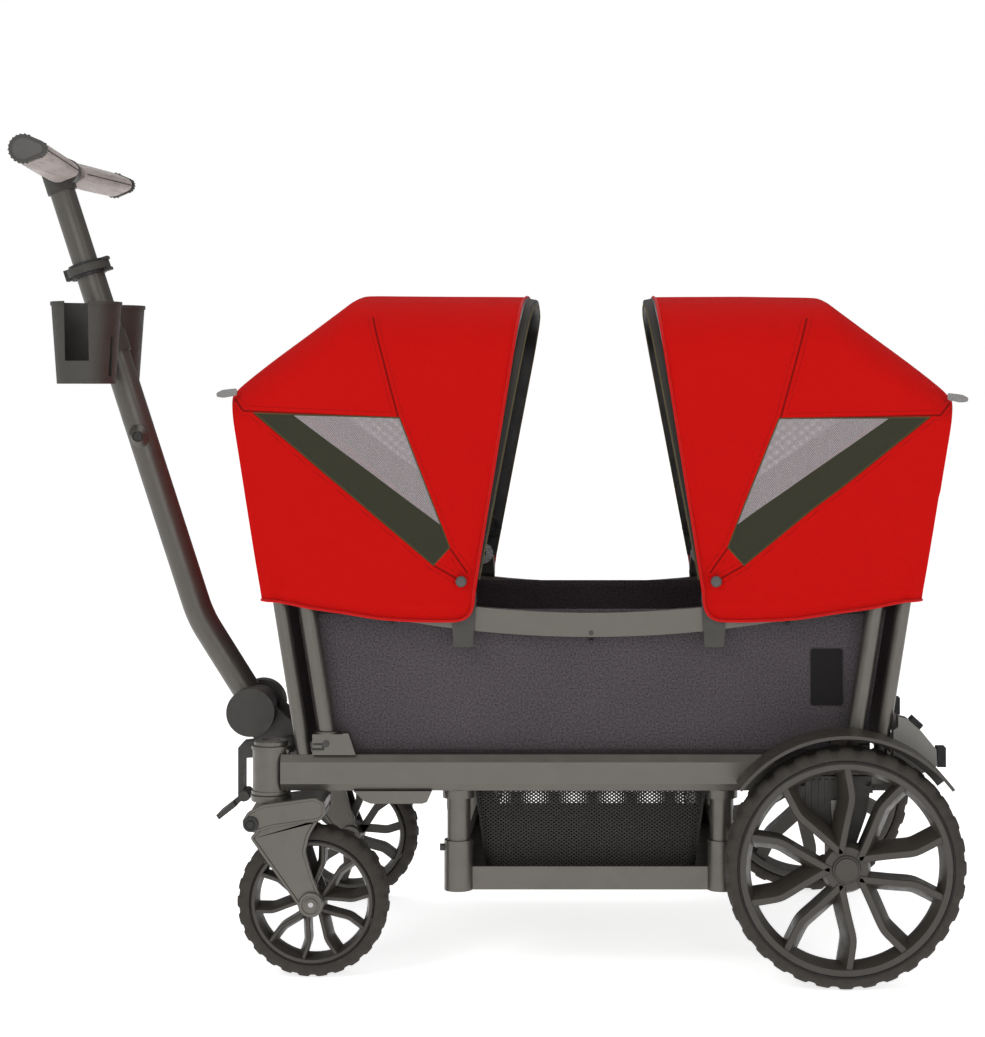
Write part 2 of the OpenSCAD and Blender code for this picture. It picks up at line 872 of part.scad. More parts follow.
// A curved lever that wraps the collar's left side.
module clamp_lever() {
    ring_r = tube_r + 5.6;
    eye = [tube_r + 9, 0];
    inner = [for (a = [210:10:340]) ring_r * [cos(a), sin(a)]];
    outer = [for (a = [340:-10:210]) (ring_r + 4) * [cos(a), sin(a)]];
    color("#2c2a28") up_handle(handle_mid_l - 20) difference() {
        translate([0, 0, 4 + rest])
            linear_extrude(11 - 2 * rest)
                union() {
                    polygon(concat(inner, [eye - [3, 9], eye - [3, 1], eye + [3, -1]], outer));
                    translate(eye)
                        circle(3.4);
                }
        translate([eye.x, eye.y, 0])
            cylinder(h = 40, r = 2 + running);
    }
}

module release_pedal() {
    link_x = pivot_x - 15;
    color("#3a3834") placed() translate([link_x, 0, 186]) {
        both_sides()
            cross_rod(0, 0, 7, 12 + rest, 20);
        rotate([0, -38, 0]) {
            translate([-44, -25, -4])
                cube([29, 50, 7]);
            both_sides()
                translate([-14, 12 + 2 * rest, -3])
                    cube([14, 6, 5]);
        }
        cross_rod(0, 0, 3, -19, 19);
    }
}

module cup_bracket() {
    color("#3a3834") up_handle(383) difference() {
        union() {
            translate([0, 0, -14])
                cylinder(h = 28, r = tube_r + 4);
            both_sides()
                translate([-17, 0, -10])
                    cube([14, cup_y, 20]);
        }
        translate([0, 0, -20])
            cylinder(h = 40, r = tube_r + rest);
        rotate([0, lean_up, 0])
            both_sides()
                translate([-cup_reach, cup_y, -cup_h / 2])
                    cylinder(h = cup_h, r1 = cup_r - 7.5 + rest, r2 = cup_r + rest);
    }
}

module cup_holders() {
    at = bend + 383 * up_dir + [-cup_reach, 0, -cup_h / 2];
    r0 = cup_r - 7.5;
    color("#3a3834") placed() both_sides() translate(at + [0, cup_y, 0]) difference() {
        union() {
            cylinder(h = cup_h, r1 = r0, r2 = cup_r);
            translate([0, 0, cup_h - 5])
                cylinder(h = 5, r = cup_r + 1);
        }
        translate([0, 0, cup_wall])
            cylinder(h = cup_h, r1 = r0 - cup_wall, r2 = cup_r - cup_wall);
        // open front slot for a mug's handle
        box_at(-20, 12, 0, 80, 30, cup_h + 1);
        // narrow window at the side
        rotate([0, 0, 25])
            box_at(r0 - 8, cup_r + 4, -3, 3, 10, 62);
    }
}

module inner_tube() {
    drop = 250;
    color("#5d5a54") up_handle(handle_mid_l - drop + 40) difference() {
        cylinder(h = handle_up_l - handle_mid_l + drop - 59, r = inner_r);
        translate([0, 0, -1])
            cylinder(h = 600, r = inner_r - 2);
    }
}

// Direction of one half of the cross grip, which sweeps back and up to its end.
function grip_dir(s) = [grip_sweep.x, s * grip_l / 2, grip_sweep.z];

// Draws about the grip's half on side s: +Z runs along it, +X stays level and points back.
module along_grip(s) {
    d = grip_dir(s);
    placed()
        translate(grip_mid)
            rotate([0, 0, atan2(d.y, d.x) - 90 * s])
                rotate([-s * 90 + atan2(d.z, norm([d.x, d.y])) * s, 0, 0])
                    children();
}

module grip_bar() {
    half = norm(grip_dir(1));
    color("#45423d") for (s = SIDES)
        along_grip(s)
            difference() {
                translate([0, 0, 4])
                    cylinder(h = half - 14, r = grip_bar_r);
                translate([0, 0, 6])
                    cylinder(h = half, r = grip_bar_r - 2);
            }
}

// Drop-shaped section of the grip: a large lobe in front and a small one behind.
module grip_section(more) {
    hull() {
        translate([-5, 0])
            circle(17 + more, $fn = 32);
        translate([13, 0])
            circle(10 + more, $fn = 32);
    }
}

module grip_cover() {
    half = norm(grip_dir(1));
    color("#8a857f") for (s = SIDES)
        along_grip(s)
            difference() {
                translate([0, 0, 21.5])
                    linear_extrude(half - 31.5)
                        grip_section(0);
                cylinder(h = half, r = grip_bar_r + rest);
            }
}

module grip_fittings() {
    half = norm(grip_dir(1));
    color("#2c2a28") {
        for (s = SIDES)
            along_grip(s)
                translate([0, 0, half - 9.5])
                    linear_extrude(9)
                        grip_section(0.8);
        difference() {
            union() {
                placed()
                    translate(grip_mid)
                        cross_rod(0, 0, 19, -12, 12);
                up_handle(handle_up_l - 28)
                    cylinder(h = 28, r = inner_r + 3);
            }
            up_handle(handle_up_l - 40)
                cylinder(h = 21.5, r = inner_r + rest);
            for (s = SIDES)
                along_grip(s)
                    cylinder(h = 40, r = grip_bar_r + rest);
        }
    }
}

// ---------------------------------------------------------------- canopies

// One half of a hoop's centre line, moved out by off: the leg, a corner arc, a gently crowned top.
function hoop_half(l, y, off) =
    let (
        crown = 8,
        c = bow_corner_r,
        side = y - c + c * sin(crown),
        top_r = side / sin(crown),
        leg = l - bow_t / 2 - c * cos(crown) - top_r * (1 - cos(crown)),
        top_z = leg + c * cos(crown) - top_r * cos(crown)
    )
    concat(
        [[y + off, 0]],
        [for (a = [0:9:81]) [y - c + (c + off) * cos(a), leg + (c + off) * sin(a)]],
        [for (a = [crown - 2:-2:0]) [(top_r + off) * sin(a), top_z + (top_r + off) * cos(a)]]
    );

function mirrored(points) = [for (i = [len(points) - 2:-1:0]) [-points[i].x, points[i].y]];

// A U-shaped hoop across Y, l high, with its legs at y and w wide.
module hoop(l, y, w) {
    outer = hoop_half(l, y, bow_t / 2);
    inner = hoop_half(l, y, -bow_t / 2);
    translate([-w / 2, 0, 0])
        rotate([90, 0, 90])
            linear_extrude(w)
                difference() {
                    polygon(concat(outer, mirrored(outer)));
                    polygon(concat([[inner[0].x, -1]], inner, mirrored(inner), [[-inner[0].x, -1]]));
                }
}

// Places a hoop at a canopy's pivots, leaning to the middle of the tub by lean.
module at_pivot(end, lean) {
    placed()
        at_end(end)
            translate([-canopy_x, 0, canopy_z])
                rotate([0, lean, 0])
                    children();
}

module canopy_hoop(end, lean, l, y, w) {
    at_pivot(end, lean)
        difference() {
            union() {
                hoop(l, y, w);
                both_sides()
                    cross_rod(0, 0, 15, y - bow_t / 2, y + bow_t / 2);
            }
            cross_rod(0, 0, 5 + running, -half_w, half_w);
        }
}

module canopy_bow_front() { color("#373532") canopy_hoop(-1, bow_lean, bow_l, bow_y, bow_w); }
module canopy_bow_rear() { color("#373532") canopy_hoop(1, bow_lean, bow_l, bow_y, bow_w); }
module canopy_rib_front() { color("#8a8a8a") canopy_hoop(-1, rib_lean, rib_l, rib_y, 12); }
module canopy_rib_rear() { color("#8a8a8a") canopy_hoop(1, rib_lean, rib_l, rib_y, 12); }

// A flat slice of the canopy: an arch half_w + side wide, from z0 to z1, thickness 2.
module arch_slice(side, z0, z1) {
    r = 60;
    rotate([90, 0, 90])
        linear_extrude(2)
            hull() {
                translate([-side, z0])
                    square([2 * side, 1]);
                for (s = SIDES)
                    translate([s * (side - r), z1 - r - 6])
                        circle(r, $fn = 32);
                translate([-90, z1 - 12])
                    square([180, 12]);
            }
}

// The canopy as one convex body: bow, ridge, rear corner and hem, inset by the fabric.
module canopy_body(inset, past) {
    side = canopy_side - inset;
    grown = bow_t / 2 + rest + panel_t - inset;
    hull() {
        translate([-canopy_x + 4 + past, 0, canopy_z])
            rotate([0, bow_lean, 0])
                arch_slice(bow_y + grown, 4, bow_l + grown - bow_t / 2 + 2.8);
        translate([-ridge_x, 0, 0])
            arch_slice(side - 6, 620, canopy_top_z + 5 - inset);
        translate([-corner_x + inset, 0, 0])
            arch_slice(side - 2, 640, corner_z - inset);
        translate([-canopy_x + 14 + past, -side, canopy_z - 41])
            cube([1, 2 * side, 20]);
        translate([-corner_x + 61 + inset, -side, hem_z + 24 - past])
            cube([1, 2 * side, 1]);
        translate([-canopy_x - 43, -side, hem_z - past])
            cube([50, 2 * side, 1]);
    }
}

module canopy_cover(end) {
    color("#c8140a") placed() at_end(end) difference() {
        canopy_body(0, 0);
        canopy_body(panel_t, 12);
    }
}

module canopy_cover_front() { canopy_cover(-1); }
module canopy_cover_rear() { canopy_cover(1); }

// ---------------------------------------------------------------- footwell

module footwell_tray() {
    rail_z0 = tray_z;
    rail_z1 = tray_z + 29;
    color("#55524c") placed() difference() {
        union() {
            both_sides() {
                for (x = upright_x)
                    translate([x, caster_y, tray_z])
                        cylinder(h = sleeve_h, r = sleeve_r);
                box_at(upright_x[0], upright_x[1], caster_y - 3, caster_y + 3, rail_z0, rail_z1);
            }
            for (x = upright_x)
                box_at(x - 3, x + 3, -caster_y, caster_y, rail_z0, rail_z1);
            box_at(upright_x[0], upright_x[1], -caster_y, caster_y, tray_z + 1, tray_z + 4);
        }
        both_sides()
            for (x = upright_x)
                translate([x, caster_y, tray_z - 1]) {
                    cylinder(h = sleeve_h + 2, r = upright_r + running);
                    translate([x > tray_x ? 0 : -30, 0, latch_h + 1])
                        rotate([0, 90, 0])
                            cylinder(h = 30, r = latch_r + running);
                }
    }
}

// Mesh liner between the deck and the tray: four thin walls.
module footwell_mesh() {
    x0 = upright_x[0] + 17;
    x1 = upright_x[1] - 17;
    y1 = caster_y - sleeve_r - 2;
    wall = 1.5;
    color("#3c3c3c") placed() difference() {
        box_at(x0, x1, -y1, y1, tray_z + 4 + rest, deck_z - rest);
        box_at(x0 + wall, x1 - wall, wall - y1, y1 - wall, 0, 400);
    }
}

module latch(end) {
    x = upright_x[end > 0 ? 1 : 0];
    start = upright_r + 0.4;
    color("#2a2a2a") placed() both_sides()
        translate([x, caster_y, tray_z + latch_h])
            rotate([0, end * 90, 0])
                translate([0, 0, start])
                    cylinder(h = 8, r = latch_r);
}

module latch_front() { latch(-1); }
module latch_rear() { latch(1); }

// Rivets along the top rails and bolts on the side bars.
module frame_bolts() {
    color("#8a8a8a") placed() both_sides() {
        for (x = [-230, 3, 233])
            cross_rod(x, rail_z + rail_rise(x) + 5, 3, rail_y + rail_t / 2 + 0.1, rail_y + rail_t / 2 + 1.6);
        for (x = [front_post_x, rear_post_x])
            cross_rod(x - 4, bar_top + 14, 4, half_w + 0.1, half_w + 2.5);
    }
}

side_bars();
head_tubes();
swivel_bushes();
cross_tubes();
deck_panels();
footwell_uprights();
wall_frame_left();
wall_frame_right();
end_frames();
side_panels();
end_panels();
frame_brackets();
canopy_clamps();
fenders();
rear_housings();
rear_axle();
rear_bushes();
bumper_bracket();
bumper_pads();
handle_yoke();
handle_pin();
frame_bolts();
handle_hub();
handle_tube();
clamp_collar();
cup_bracket();
cup_holders();
clamp_lever();
tube_button();
release_pedal();
inner_tube();
grip_bar();
grip_cover();
grip_fittings();
brake_lever();
caster_crown_left();
caster_crown_right();
caster_leg_left();
caster_leg_right();
front_rim_left();
front_rim_right();
front_tyre_left();
front_tyre_right();
front_axle_left();
front_axle_right();
rear_rim_left();
rear_rim_right();
rear_tyre_left();
rear_tyre_right();
canopy_bow_front();
canopy_bow_rear();
canopy_rib_front();
canopy_rib_rear();
canopy_cover_front();
canopy_cover_rear();
footwell_tray();
footwell_mesh();
latch_front();
latch_rear();
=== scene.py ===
"""Kids pull wagon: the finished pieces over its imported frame. Lengths are millimetres from the middle of
the tub, unless a line says metres."""

import math
import bmesh
import bpy
import numpy as np
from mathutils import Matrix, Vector


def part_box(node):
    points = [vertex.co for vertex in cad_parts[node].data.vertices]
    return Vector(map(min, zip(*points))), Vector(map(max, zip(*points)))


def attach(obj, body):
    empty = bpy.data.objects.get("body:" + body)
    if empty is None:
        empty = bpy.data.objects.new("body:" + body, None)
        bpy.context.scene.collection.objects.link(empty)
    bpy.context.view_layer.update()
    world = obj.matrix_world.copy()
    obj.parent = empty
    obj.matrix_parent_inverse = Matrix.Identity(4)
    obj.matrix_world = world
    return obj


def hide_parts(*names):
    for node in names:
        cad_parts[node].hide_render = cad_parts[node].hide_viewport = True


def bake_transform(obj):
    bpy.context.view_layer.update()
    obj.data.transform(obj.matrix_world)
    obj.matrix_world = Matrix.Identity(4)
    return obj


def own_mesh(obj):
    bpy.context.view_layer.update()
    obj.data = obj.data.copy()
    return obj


bl_info = {
    "name": "Kids Pull Wagon",
    "version": (1, 0, 0),
    "blender": (4, 5, 0),
    "location": "View3D > Sidebar > Wagon",
    "description": "Builds the canopies, wheels, casters and handle of a pull wagon over its frame",
    "category": "Add Mesh",
}

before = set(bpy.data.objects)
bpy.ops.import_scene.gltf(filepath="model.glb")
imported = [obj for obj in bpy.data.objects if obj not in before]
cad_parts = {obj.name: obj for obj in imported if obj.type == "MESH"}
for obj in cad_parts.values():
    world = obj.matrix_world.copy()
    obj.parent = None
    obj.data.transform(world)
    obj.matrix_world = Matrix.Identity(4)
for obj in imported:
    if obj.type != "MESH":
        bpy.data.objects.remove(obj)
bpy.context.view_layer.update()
AXLE_LOW, AXLE_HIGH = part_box("rear_axle")
MM = 0.001
REAR_AXLE_X = 316.0
TUB_X = (AXLE_LOW.x + AXLE_HIGH.x) * 500 - REAR_AXLE_X
PIVOT = np.array([-451.0, 304.0])
LOW_LEAN, UP_LEAN = math.radians(32.1), math.radians(17.9)
LOW_DIR = np.array([-math.sin(LOW_LEAN), math.cos(LOW_LEAN)])
UP_DIR = np.array([-math.sin(UP_LEAN), math.cos(UP_LEAN)])
BEND_AT = 149
BEND = PIVOT + BEND_AT * LOW_DIR
HANDLE_TOP = 486
REAR_R, REAR_RIM, REAR_WIDTH, REAR_FACE = 146, 132, 48, 300
FRONT_R, FRONT_RIM, FRONT_WIDTH, FRONT_FACE = 92, 77, 45, 237.5
FRONT_AXLE = (-346, FRONT_R)
SPOKE_PAIRS = 5
CASTER_X, CASTER_Y = -400.0, 215.0
WALL_FOOT, WALL_LEAN = 277, 0.158
BOW_PIVOT = [-157, 0, 497]
BOW_LEAN = math.radians(10.8)
DIAL_TEETH = 14
# The rear canopy's outer corner lies this much further out and lower than the front one's, in metres.
REAR_CORNER_OUT, REAR_CORNER_DOWN = 0.009, 0.006
# Camera, in metres: past the middle of the tub, in front of it and up; then lens in mm and shift.
CAMERA_ASIDE, CAMERA_BACK, CAMERA_UP = 0.029, 3.093, 0.739
CAMERA_LENS, CAMERA_SHIFT = 79.36, (-0.1152, -0.1287)


# ---------------------------------------------------------------- shapes

def grid_faces(rows, cols, wrap_rows=False, wrap_cols=False):
    """Four-sided faces over a grid of points, row by row, joined end to start where it wraps."""
    i, j = np.meshgrid(np.arange(rows - (not wrap_rows)), np.arange(cols - (not wrap_cols)), indexing="ij")
    a, b = (i + 1) % rows, (j + 1) % cols
    return np.stack([i * cols + j, a * cols + j, a * cols + b, i * cols + b], -1).reshape(-1, 4)


def volume(points, groups):
    """Signed volume: the sum of the tetrahedra from the middle to each face's fan of triangles."""
    p = points - points.mean(0)
    total = 0.0
    for g in groups:
        total += (p[g[:, :1]] * np.cross(p[g[:, 1:-1]], p[g[:, 2:]])).sum()
    return total


class Shape:
    """Gathers closed parts, each turned to face outwards, and open sheets, kept as they come."""

    def __init__(self):
        self.points, self.groups, self.finishes, self.count = [], [], [], 0

    def add(self, points, groups, finish=0, closed=True):
        points = np.asarray(points, float).reshape(-1, 3)
        if closed and volume(points, groups) < 0:
            groups = [g[:, ::-1] for g in groups]
        self.points.append(points)
        for g in groups:
            self.groups.append(g + self.count)
            self.finishes.append(np.full(len(g), finish))
        self.count += len(points)
        return self

    def loft(self, rings, finish=0, loop=False, caps=True):
        """Closed rings of equal length joined in order, ended by flat caps or joined round in a loop."""
        rings = np.asarray(rings, float)
        k, n = rings.shape[:2]
        groups = [grid_faces(k, n, loop, True)]
        if caps and not loop:
            groups += [np.arange(n)[None, ::-1], (np.arange(n) + (k - 1) * n)[None]]
        return self.add(rings, groups, finish)


def inset(outline, distance):
    """Moves each corner of a closed outline inward along the mitre of its two sides."""
    p = np.asarray(outline, float)
    e = np.roll(p, -1, 0) - p
    e /= np.linalg.norm(e, axis=1)[:, None] + 1e-9
    turn = (p[:, 0] * np.roll(p[:, 1], -1) - np.roll(p[:, 0], -1) * p[:, 1]).sum()
    n = np.stack([-e[:, 1], e[:, 0]], 1) * (1 if turn > 0 else -1)
    before = np.roll(n, 1, 0)
    mitre = (n + before) / np.maximum(1 + (n * before).sum(1), 0.35)[:, None]
    return p + mitre * distance


def fillet(points, radius, steps=6, loop=True):
    """Rounds each corner with a parabola that starts and ends a radius from it."""
    p = np.asarray(points, float)
    r = np.broadcast_to(np.asarray(radius, float), (len(p),))
    t = np.linspace(0, 1, steps)[:, None]
    out = []
    for i in range(len(p)):
        a, b, c = p[i - 1], p[i], p[(i + 1) % len(p)]
        if (not loop and i in (0, len(p) - 1)) or r[i] <= 0:
            out.append(b[None])
            continue
        la, lc = np.linalg.norm(a - b), np.linalg.norm(c - b)
        s, e = b + (a - b) * min(r[i] / la, 0.48), b + (c - b) * min(r[i] / lc, 0.48)
        out.append((1 - t) ** 2 * s + 2 * t * (1 - t) * b + t ** 2 * e)
    return np.concatenate(out)


def slab(outline, levels):
    """An (x, z) outline carried along Y: each level is (inset, y)."""
    rings = []
    for d, y in levels:
        q = inset(outline, d)
        rings.append(np.stack([q[:, 0], np.full(len(q), y), q[:, 1]], 1))
    return np.array(rings)


def plate(outline, y0, y1, edge=0.8):
    """A flat plate between two Y values, with small chamfers round both faces."""
    s = math.copysign(edge, y1 - y0)
    return slab(outline, [(edge, y0), (0, y0 + s), (0, y1 - s), (edge, y1)])


def revolve(profile, centre, n=64):
    """A (radius, y) profile turned round the Y axis through centre = (x, z)."""
    a = np.linspace(0, 2 * np.pi, n, endpoint=False)
    r, y = np.asarray(profile, float).T
    ones = np.ones(n)
    return np.stack([centre[0] + r[:, None] * np.cos(a), y[:, None] * ones,
        centre[1] + r[:, None] * np.sin(a)], 2)


def turned_up(profile, centre, n=48):
    """A (radius, z) profile turned round the upright axis through centre = (x, y)."""
    a = np.linspace(0, 2 * np.pi, n, endpoint=False)
    r, z = np.asarray(profile, float).T
    ones = np.ones(n)
    return np.stack([centre[0] + r[:, None] * np.cos(a), centre[1] + r[:, None] * np.sin(a),
        z[:, None] * ones], 2)


def circle(radius, n=24):
    """A round section of n points."""
    a = np.linspace(0, 2 * np.pi, n, endpoint=False)
    return np.stack([radius * np.cos(a), radius * np.sin(a)], 1)


def rounded_box(w, h, r, steps=4):
    """A rectangular section w by h with rounded corners."""
    return fillet([[-w / 2, -h / 2], [w / 2, -h / 2], [w / 2, h / 2], [-w / 2, h / 2]], r, steps)


def sweep(path, section, side=(0, 1, 0), scale=1.0):
    """A section carried along a path: its first axis keeps to the side direction, its second is square to
    both."""
    path, side = np.asarray(path, float), np.asarray(side, float)
    t = np.gradient(path, axis=0)
    t /= np.linalg.norm(t, axis=1)[:, None]
    u = side - (t @ side)[:, None] * t
    u /= np.linalg.norm(u, axis=1)[:, None]
    v = np.cross(t, u)
    scale = np.broadcast_to(np.asarray(scale, float).reshape(-1, 1, 1), (len(path), 1, 1))
    return path[:, None] + scale * (section[None, :, :1] * u[:, None] + section[None, :, 1:] * v[:, None])


def spline(points, steps=4):
    """A smooth curve through the points: each stretch is a cubic whose slopes come from its neighbours."""
    p = np.asarray(points, float)
    m = np.empty_like(p)
    m[1:-1] = (p[2:] - p[:-2]) / 2
    m[0], m[-1] = p[1] - p[0], p[-1] - p[-2]
    t = np.linspace(0, 1, steps, endpoint=False)[:, None]
    h = [2 * t ** 3 - 3 * t ** 2 + 1, t ** 3 - 2 * t ** 2 + t, 3 * t ** 2 - 2 * t ** 3, t ** 3 - t ** 2]
    out = [h[0] * p[i] + h[1] * m[i] + h[2] * p[i + 1] + h[3] * m[i + 1] for i in range(len(p) - 1)]
    return np.concatenate(out + [p[-1:]])


def lean(points, angle, at):
    """Turns points about Y through at = (x, z), so that what was upright leans toward +X."""
    q = np.array(points, float)
    x, z = q[..., 0] - at[0], q[..., 2] - at[1]
    c, s = math.cos(angle), math.sin(angle)
    q[..., 0], q[..., 2] = at[0] + c * x + s * z, at[1] - s * x + c * z
    return q


def piece(name, shape, body, finishes, nodes=(), sharp=32, mirror=False):
    """Makes the mesh in metres, wraps it with a box UV map in metres, and ties it to its body."""
    points = np.concatenate(shape.points)
    groups = shape.groups
    flip = -1.0 if mirror else 1.0
    world = points * [MM * flip, MM, MM]
    if mirror:
        reach = np.clip((world[:, 0] - 0.2) / 0.25, 0, 1)
        down = -REAR_CORNER_DOWN * reach * (world[:, 2] > 0.6)
        world += np.stack([REAR_CORNER_OUT * reach, np.zeros(len(reach)), down], 1)
    world += [TUB_X * MM, 0, 0]
    faces = [f for g in groups for f in (g[:, ::-1] if mirror else g).tolist()]
    mesh = bpy.data.meshes.new(name)
    mesh.from_pydata(world.tolist(), [], faces)
    mesh.polygons.foreach_set("material_index", np.concatenate(shape.finishes).astype(np.int32))
    normals = np.zeros(len(faces) * 3)
    mesh.polygons.foreach_get("normal", normals)
    main = np.abs(normals.reshape(-1, 3)).argmax(1)
    totals = np.zeros(len(faces), np.int32)
    mesh.polygons.foreach_get("loop_total", totals)
    corner = np.zeros(len(mesh.loops), np.int32)
    mesh.loops.foreach_get("vertex_index", corner)
    p, axis = points[corner] * MM, np.repeat(main, totals)
    flat = np.where((axis == 1)[:, None], p[:, [0, 2]],
        np.where((axis == 2)[:, None], p[:, [0, 1]] + [10, 0], p[:, [1, 2]] + [20, 0]))
    layer = mesh.uv_layers.new(name="panel")
    layer.data.foreach_set("uv", flat.astype(np.float32).ravel())
    bm = bmesh.new()
    bm.from_mesh(mesh)
    bmesh.ops.remove_doubles(bm, verts=bm.verts, dist=2e-6)
    bm.to_mesh(mesh)
    bm.free()
    mesh.shade_smooth()
    mesh.set_sharp_from_angle(angle=math.radians(sharp))
    for f in finishes:
        mesh.materials.append(FINISHES[f])
    obj = bpy.data.objects.new(name, mesh)
    bpy.context.scene.collection.objects.link(obj)
    if body:
        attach(obj, body)
    if nodes:
        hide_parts(*nodes)
    return obj


def thicken(obj, metres, offset=-1.0):
    """Gives a sheet its thickness, inward from its outer face."""
    wall = obj.modifiers.new("Thickness", "SOLIDIFY")
    wall.thickness = metres
    wall.offset = offset
    return obj


# ---------------------------------------------------------------- finishes

FINISHES = {}


def linear(r, g, b):
    """Screen colour, 0 to 255, to scene linear."""
    c = np.array([r, g, b]) / 255
    return tuple(np.where(c <= 0.04045, c / 12.92, ((c + 0.055) / 1.055) ** 2.4)) + (1.0,)


class Finish:
    """One material and short ways to wire its nodes. A value may be a number, a colour or a socket."""

    def __init__(self, name, metallic=0.0, sheen=0.0, coat=0.0, coat_roughness=0.1, specular=0.5):
        self.material = bpy.data.materials.new(name)
        self.material.use_nodes = True
        self.tree = self.material.node_tree
        self.tree.nodes.clear()
        self.shader = self.tree.nodes.new("ShaderNodeBsdfPrincipled")
        out = self.tree.nodes.new("ShaderNodeOutputMaterial")
        self.tree.links.new(self.shader.outputs[0], out.inputs[0])
        self.coords = self.tree.nodes.new("ShaderNodeTexCoord")
        self.place, self.uv = self.coords.outputs["Object"], self.coords.outputs["UV"]
        for socket, value in (("Metallic", metallic), ("Sheen Weight", sheen), ("Coat Weight", coat),
                ("Coat Roughness", coat_roughness), ("Specular IOR Level", specular)):
            self.shader.inputs[socket].default_value = value
        FINISHES[name] = self.material

    def put(self, socket, value):
        if isinstance(value, bpy.types.NodeSocket):
            self.tree.links.new(value, socket)
        elif value is not None:
            socket.default_value = value

    def set(self, **values):
        for name, value in values.items():
            self.put(self.shader.inputs[name.replace("_", " ").title()], value)
        return self

    def math(self, how, a, b=None, c=None, clamp=False):
        n = self.tree.nodes.new("ShaderNodeMath")
        n.operation, n.use_clamp = how, clamp
        for socket, value in zip(n.inputs, (a, b, c)):
            self.put(socket, value)
        return n.outputs[0]

    def vector(self, how, a, b=None, scale=None):
        n = self.tree.nodes.new("ShaderNodeVectorMath")
        n.operation = how
        self.put(n.inputs[0], a)
        self.put(n.inputs[1], b)
        if scale is not None:
            self.put(n.inputs["Scale"], scale)
        return n.outputs["Value"] if how in ("DOT_PRODUCT", "LENGTH", "DISTANCE") else n.outputs["Vector"]

    def stretch(self, vector, scale):
        n = self.tree.nodes.new("ShaderNodeMapping")
        self.put(n.inputs["Vector"], vector)
        n.inputs["Scale"].default_value = scale
        return n.outputs[0]

    def noise(self, scale, detail=2.0, rough=0.5, vector=None):
        n = self.tree.nodes.new("ShaderNodeTexNoise")
        self.put(n.inputs["Vector"], vector or self.place)
        for socket, value in (("Scale", scale), ("Detail", detail), ("Roughness", rough)):
            n.inputs[socket].default_value = value
        return n.outputs["Fac"]

    def cells(self, scale, vector=None):
        n = self.tree.nodes.new("ShaderNodeTexVoronoi")
        self.put(n.inputs["Vector"], vector or self.place)
        n.inputs["Scale"].default_value = scale
        return n.outputs["Distance"]

    def between(self, value, low, high, out_low=0.0, out_high=1.0):
        n = self.tree.nodes.new("ShaderNodeMapRange")
        for socket, v in zip(n.inputs, (value, low, high, out_low, out_high)):
            self.put(socket, v)
        return n.outputs[0]

    def mix(self, part, a, b):
        n = self.tree.nodes.new("ShaderNodeMix")
        n.data_type = "RGBA"
        self.put(n.inputs[0], part)
        self.put(n.inputs[6], a)
        self.put(n.inputs[7], b)
        return n.outputs[2]

    def bump(self, height, depth, strength=1.0, under=None):
        n = self.tree.nodes.new("ShaderNodeBump")
        n.inputs["Strength"].default_value = strength
        n.inputs["Distance"].default_value = depth
        self.put(n.inputs["Height"], height)
        self.put(n.inputs["Normal"], under)
        return n.outputs[0]

    def split(self, vector):
        n = self.tree.nodes.new("ShaderNodeSeparateXYZ")
        self.put(n.inputs[0], vector)
        return n.outputs

    def inside(self, point, corners):
        """How far, in metres, a UV point is inside a convex outline of (x, z) millimetres,
        counterclockwise."""
        p = np.asarray(corners, float) * MM
        depth = None
        for a, b in zip(p, np.roll(p, -1, 0)):
            n = np.array([a[1] - b[1], b[0] - a[0]]) / np.linalg.norm(b - a)
            d = self.math("SUBTRACT", self.vector("DOT_PRODUCT", point, (n[0], n[1], 0)), float(n @ a))
            depth = d if depth is None else self.math("MINIMUM", depth, d)
        return depth

    def near(self, point, line):
        """Distance in metres from a UV point to a broken line of (x, z) millimetres."""
        p = np.asarray(line, float) * MM
        least = None
        for a, b in zip(p[:-1], p[1:]):
            e = b - a
            to = self.vector("SUBTRACT", point, (a[0], a[1], 0))
            t = self.math("DIVIDE", self.vector("DOT_PRODUCT", to, (e[0], e[1], 0)), float(e @ e),
                clamp=True)
            foot = self.vector("SCALE", (e[0], e[1], 0), scale=t)
            d = self.vector("LENGTH", self.vector("SUBTRACT", to, foot))
            least = d if least is None else self.math("MINIMUM", least, d)
        return least


def powder_coat(name, colour, metallic=0.8, roughness=0.36):
    """Satin metallic coat: fine flake in its colour, a soft orange peel and a slightly uneven gloss."""
    f = Finish(name, metallic, coat=0.15, coat_roughness=0.3)
    flake = f.noise(2600, 1)
    cloud = f.noise(14, 3)
    dark, light = [tuple(v * k for v in colour[:3]) + (1.0,) for k in (0.8, 1.22)]
    f.set(base_color=f.mix(f.math("MULTIPLY_ADD", cloud, 0.35, f.math("MULTIPLY", flake, 0.65)), dark,
        light))
    f.set(roughness=f.between(f.noise(60, 4), 0.3, 0.7, roughness - 0.06, roughness + 0.08))
    f.set(normal=f.bump(f.noise(900, 2), 0.0002, 0.25))


def moulded(name, colour, roughness=0.5, grain=1400, depth=0.00025):
    """Moulded plastic: a fine cell grain, faint flow clouds and scuffs that are a little glossier."""
    f = Finish(name, specular=0.45)
    dark, light = [tuple(v * k for v in colour[:3]) + (1.0,) for k in (0.82, 1.2)]
    f.set(base_color=f.mix(f.noise(22, 4), dark, light))
    f.set(roughness=f.between(f.noise(90, 4), 0.3, 0.7, roughness - 0.08, roughness + 0.1))
    f.set(normal=f.bump(f.cells(grain), depth, 0.35))


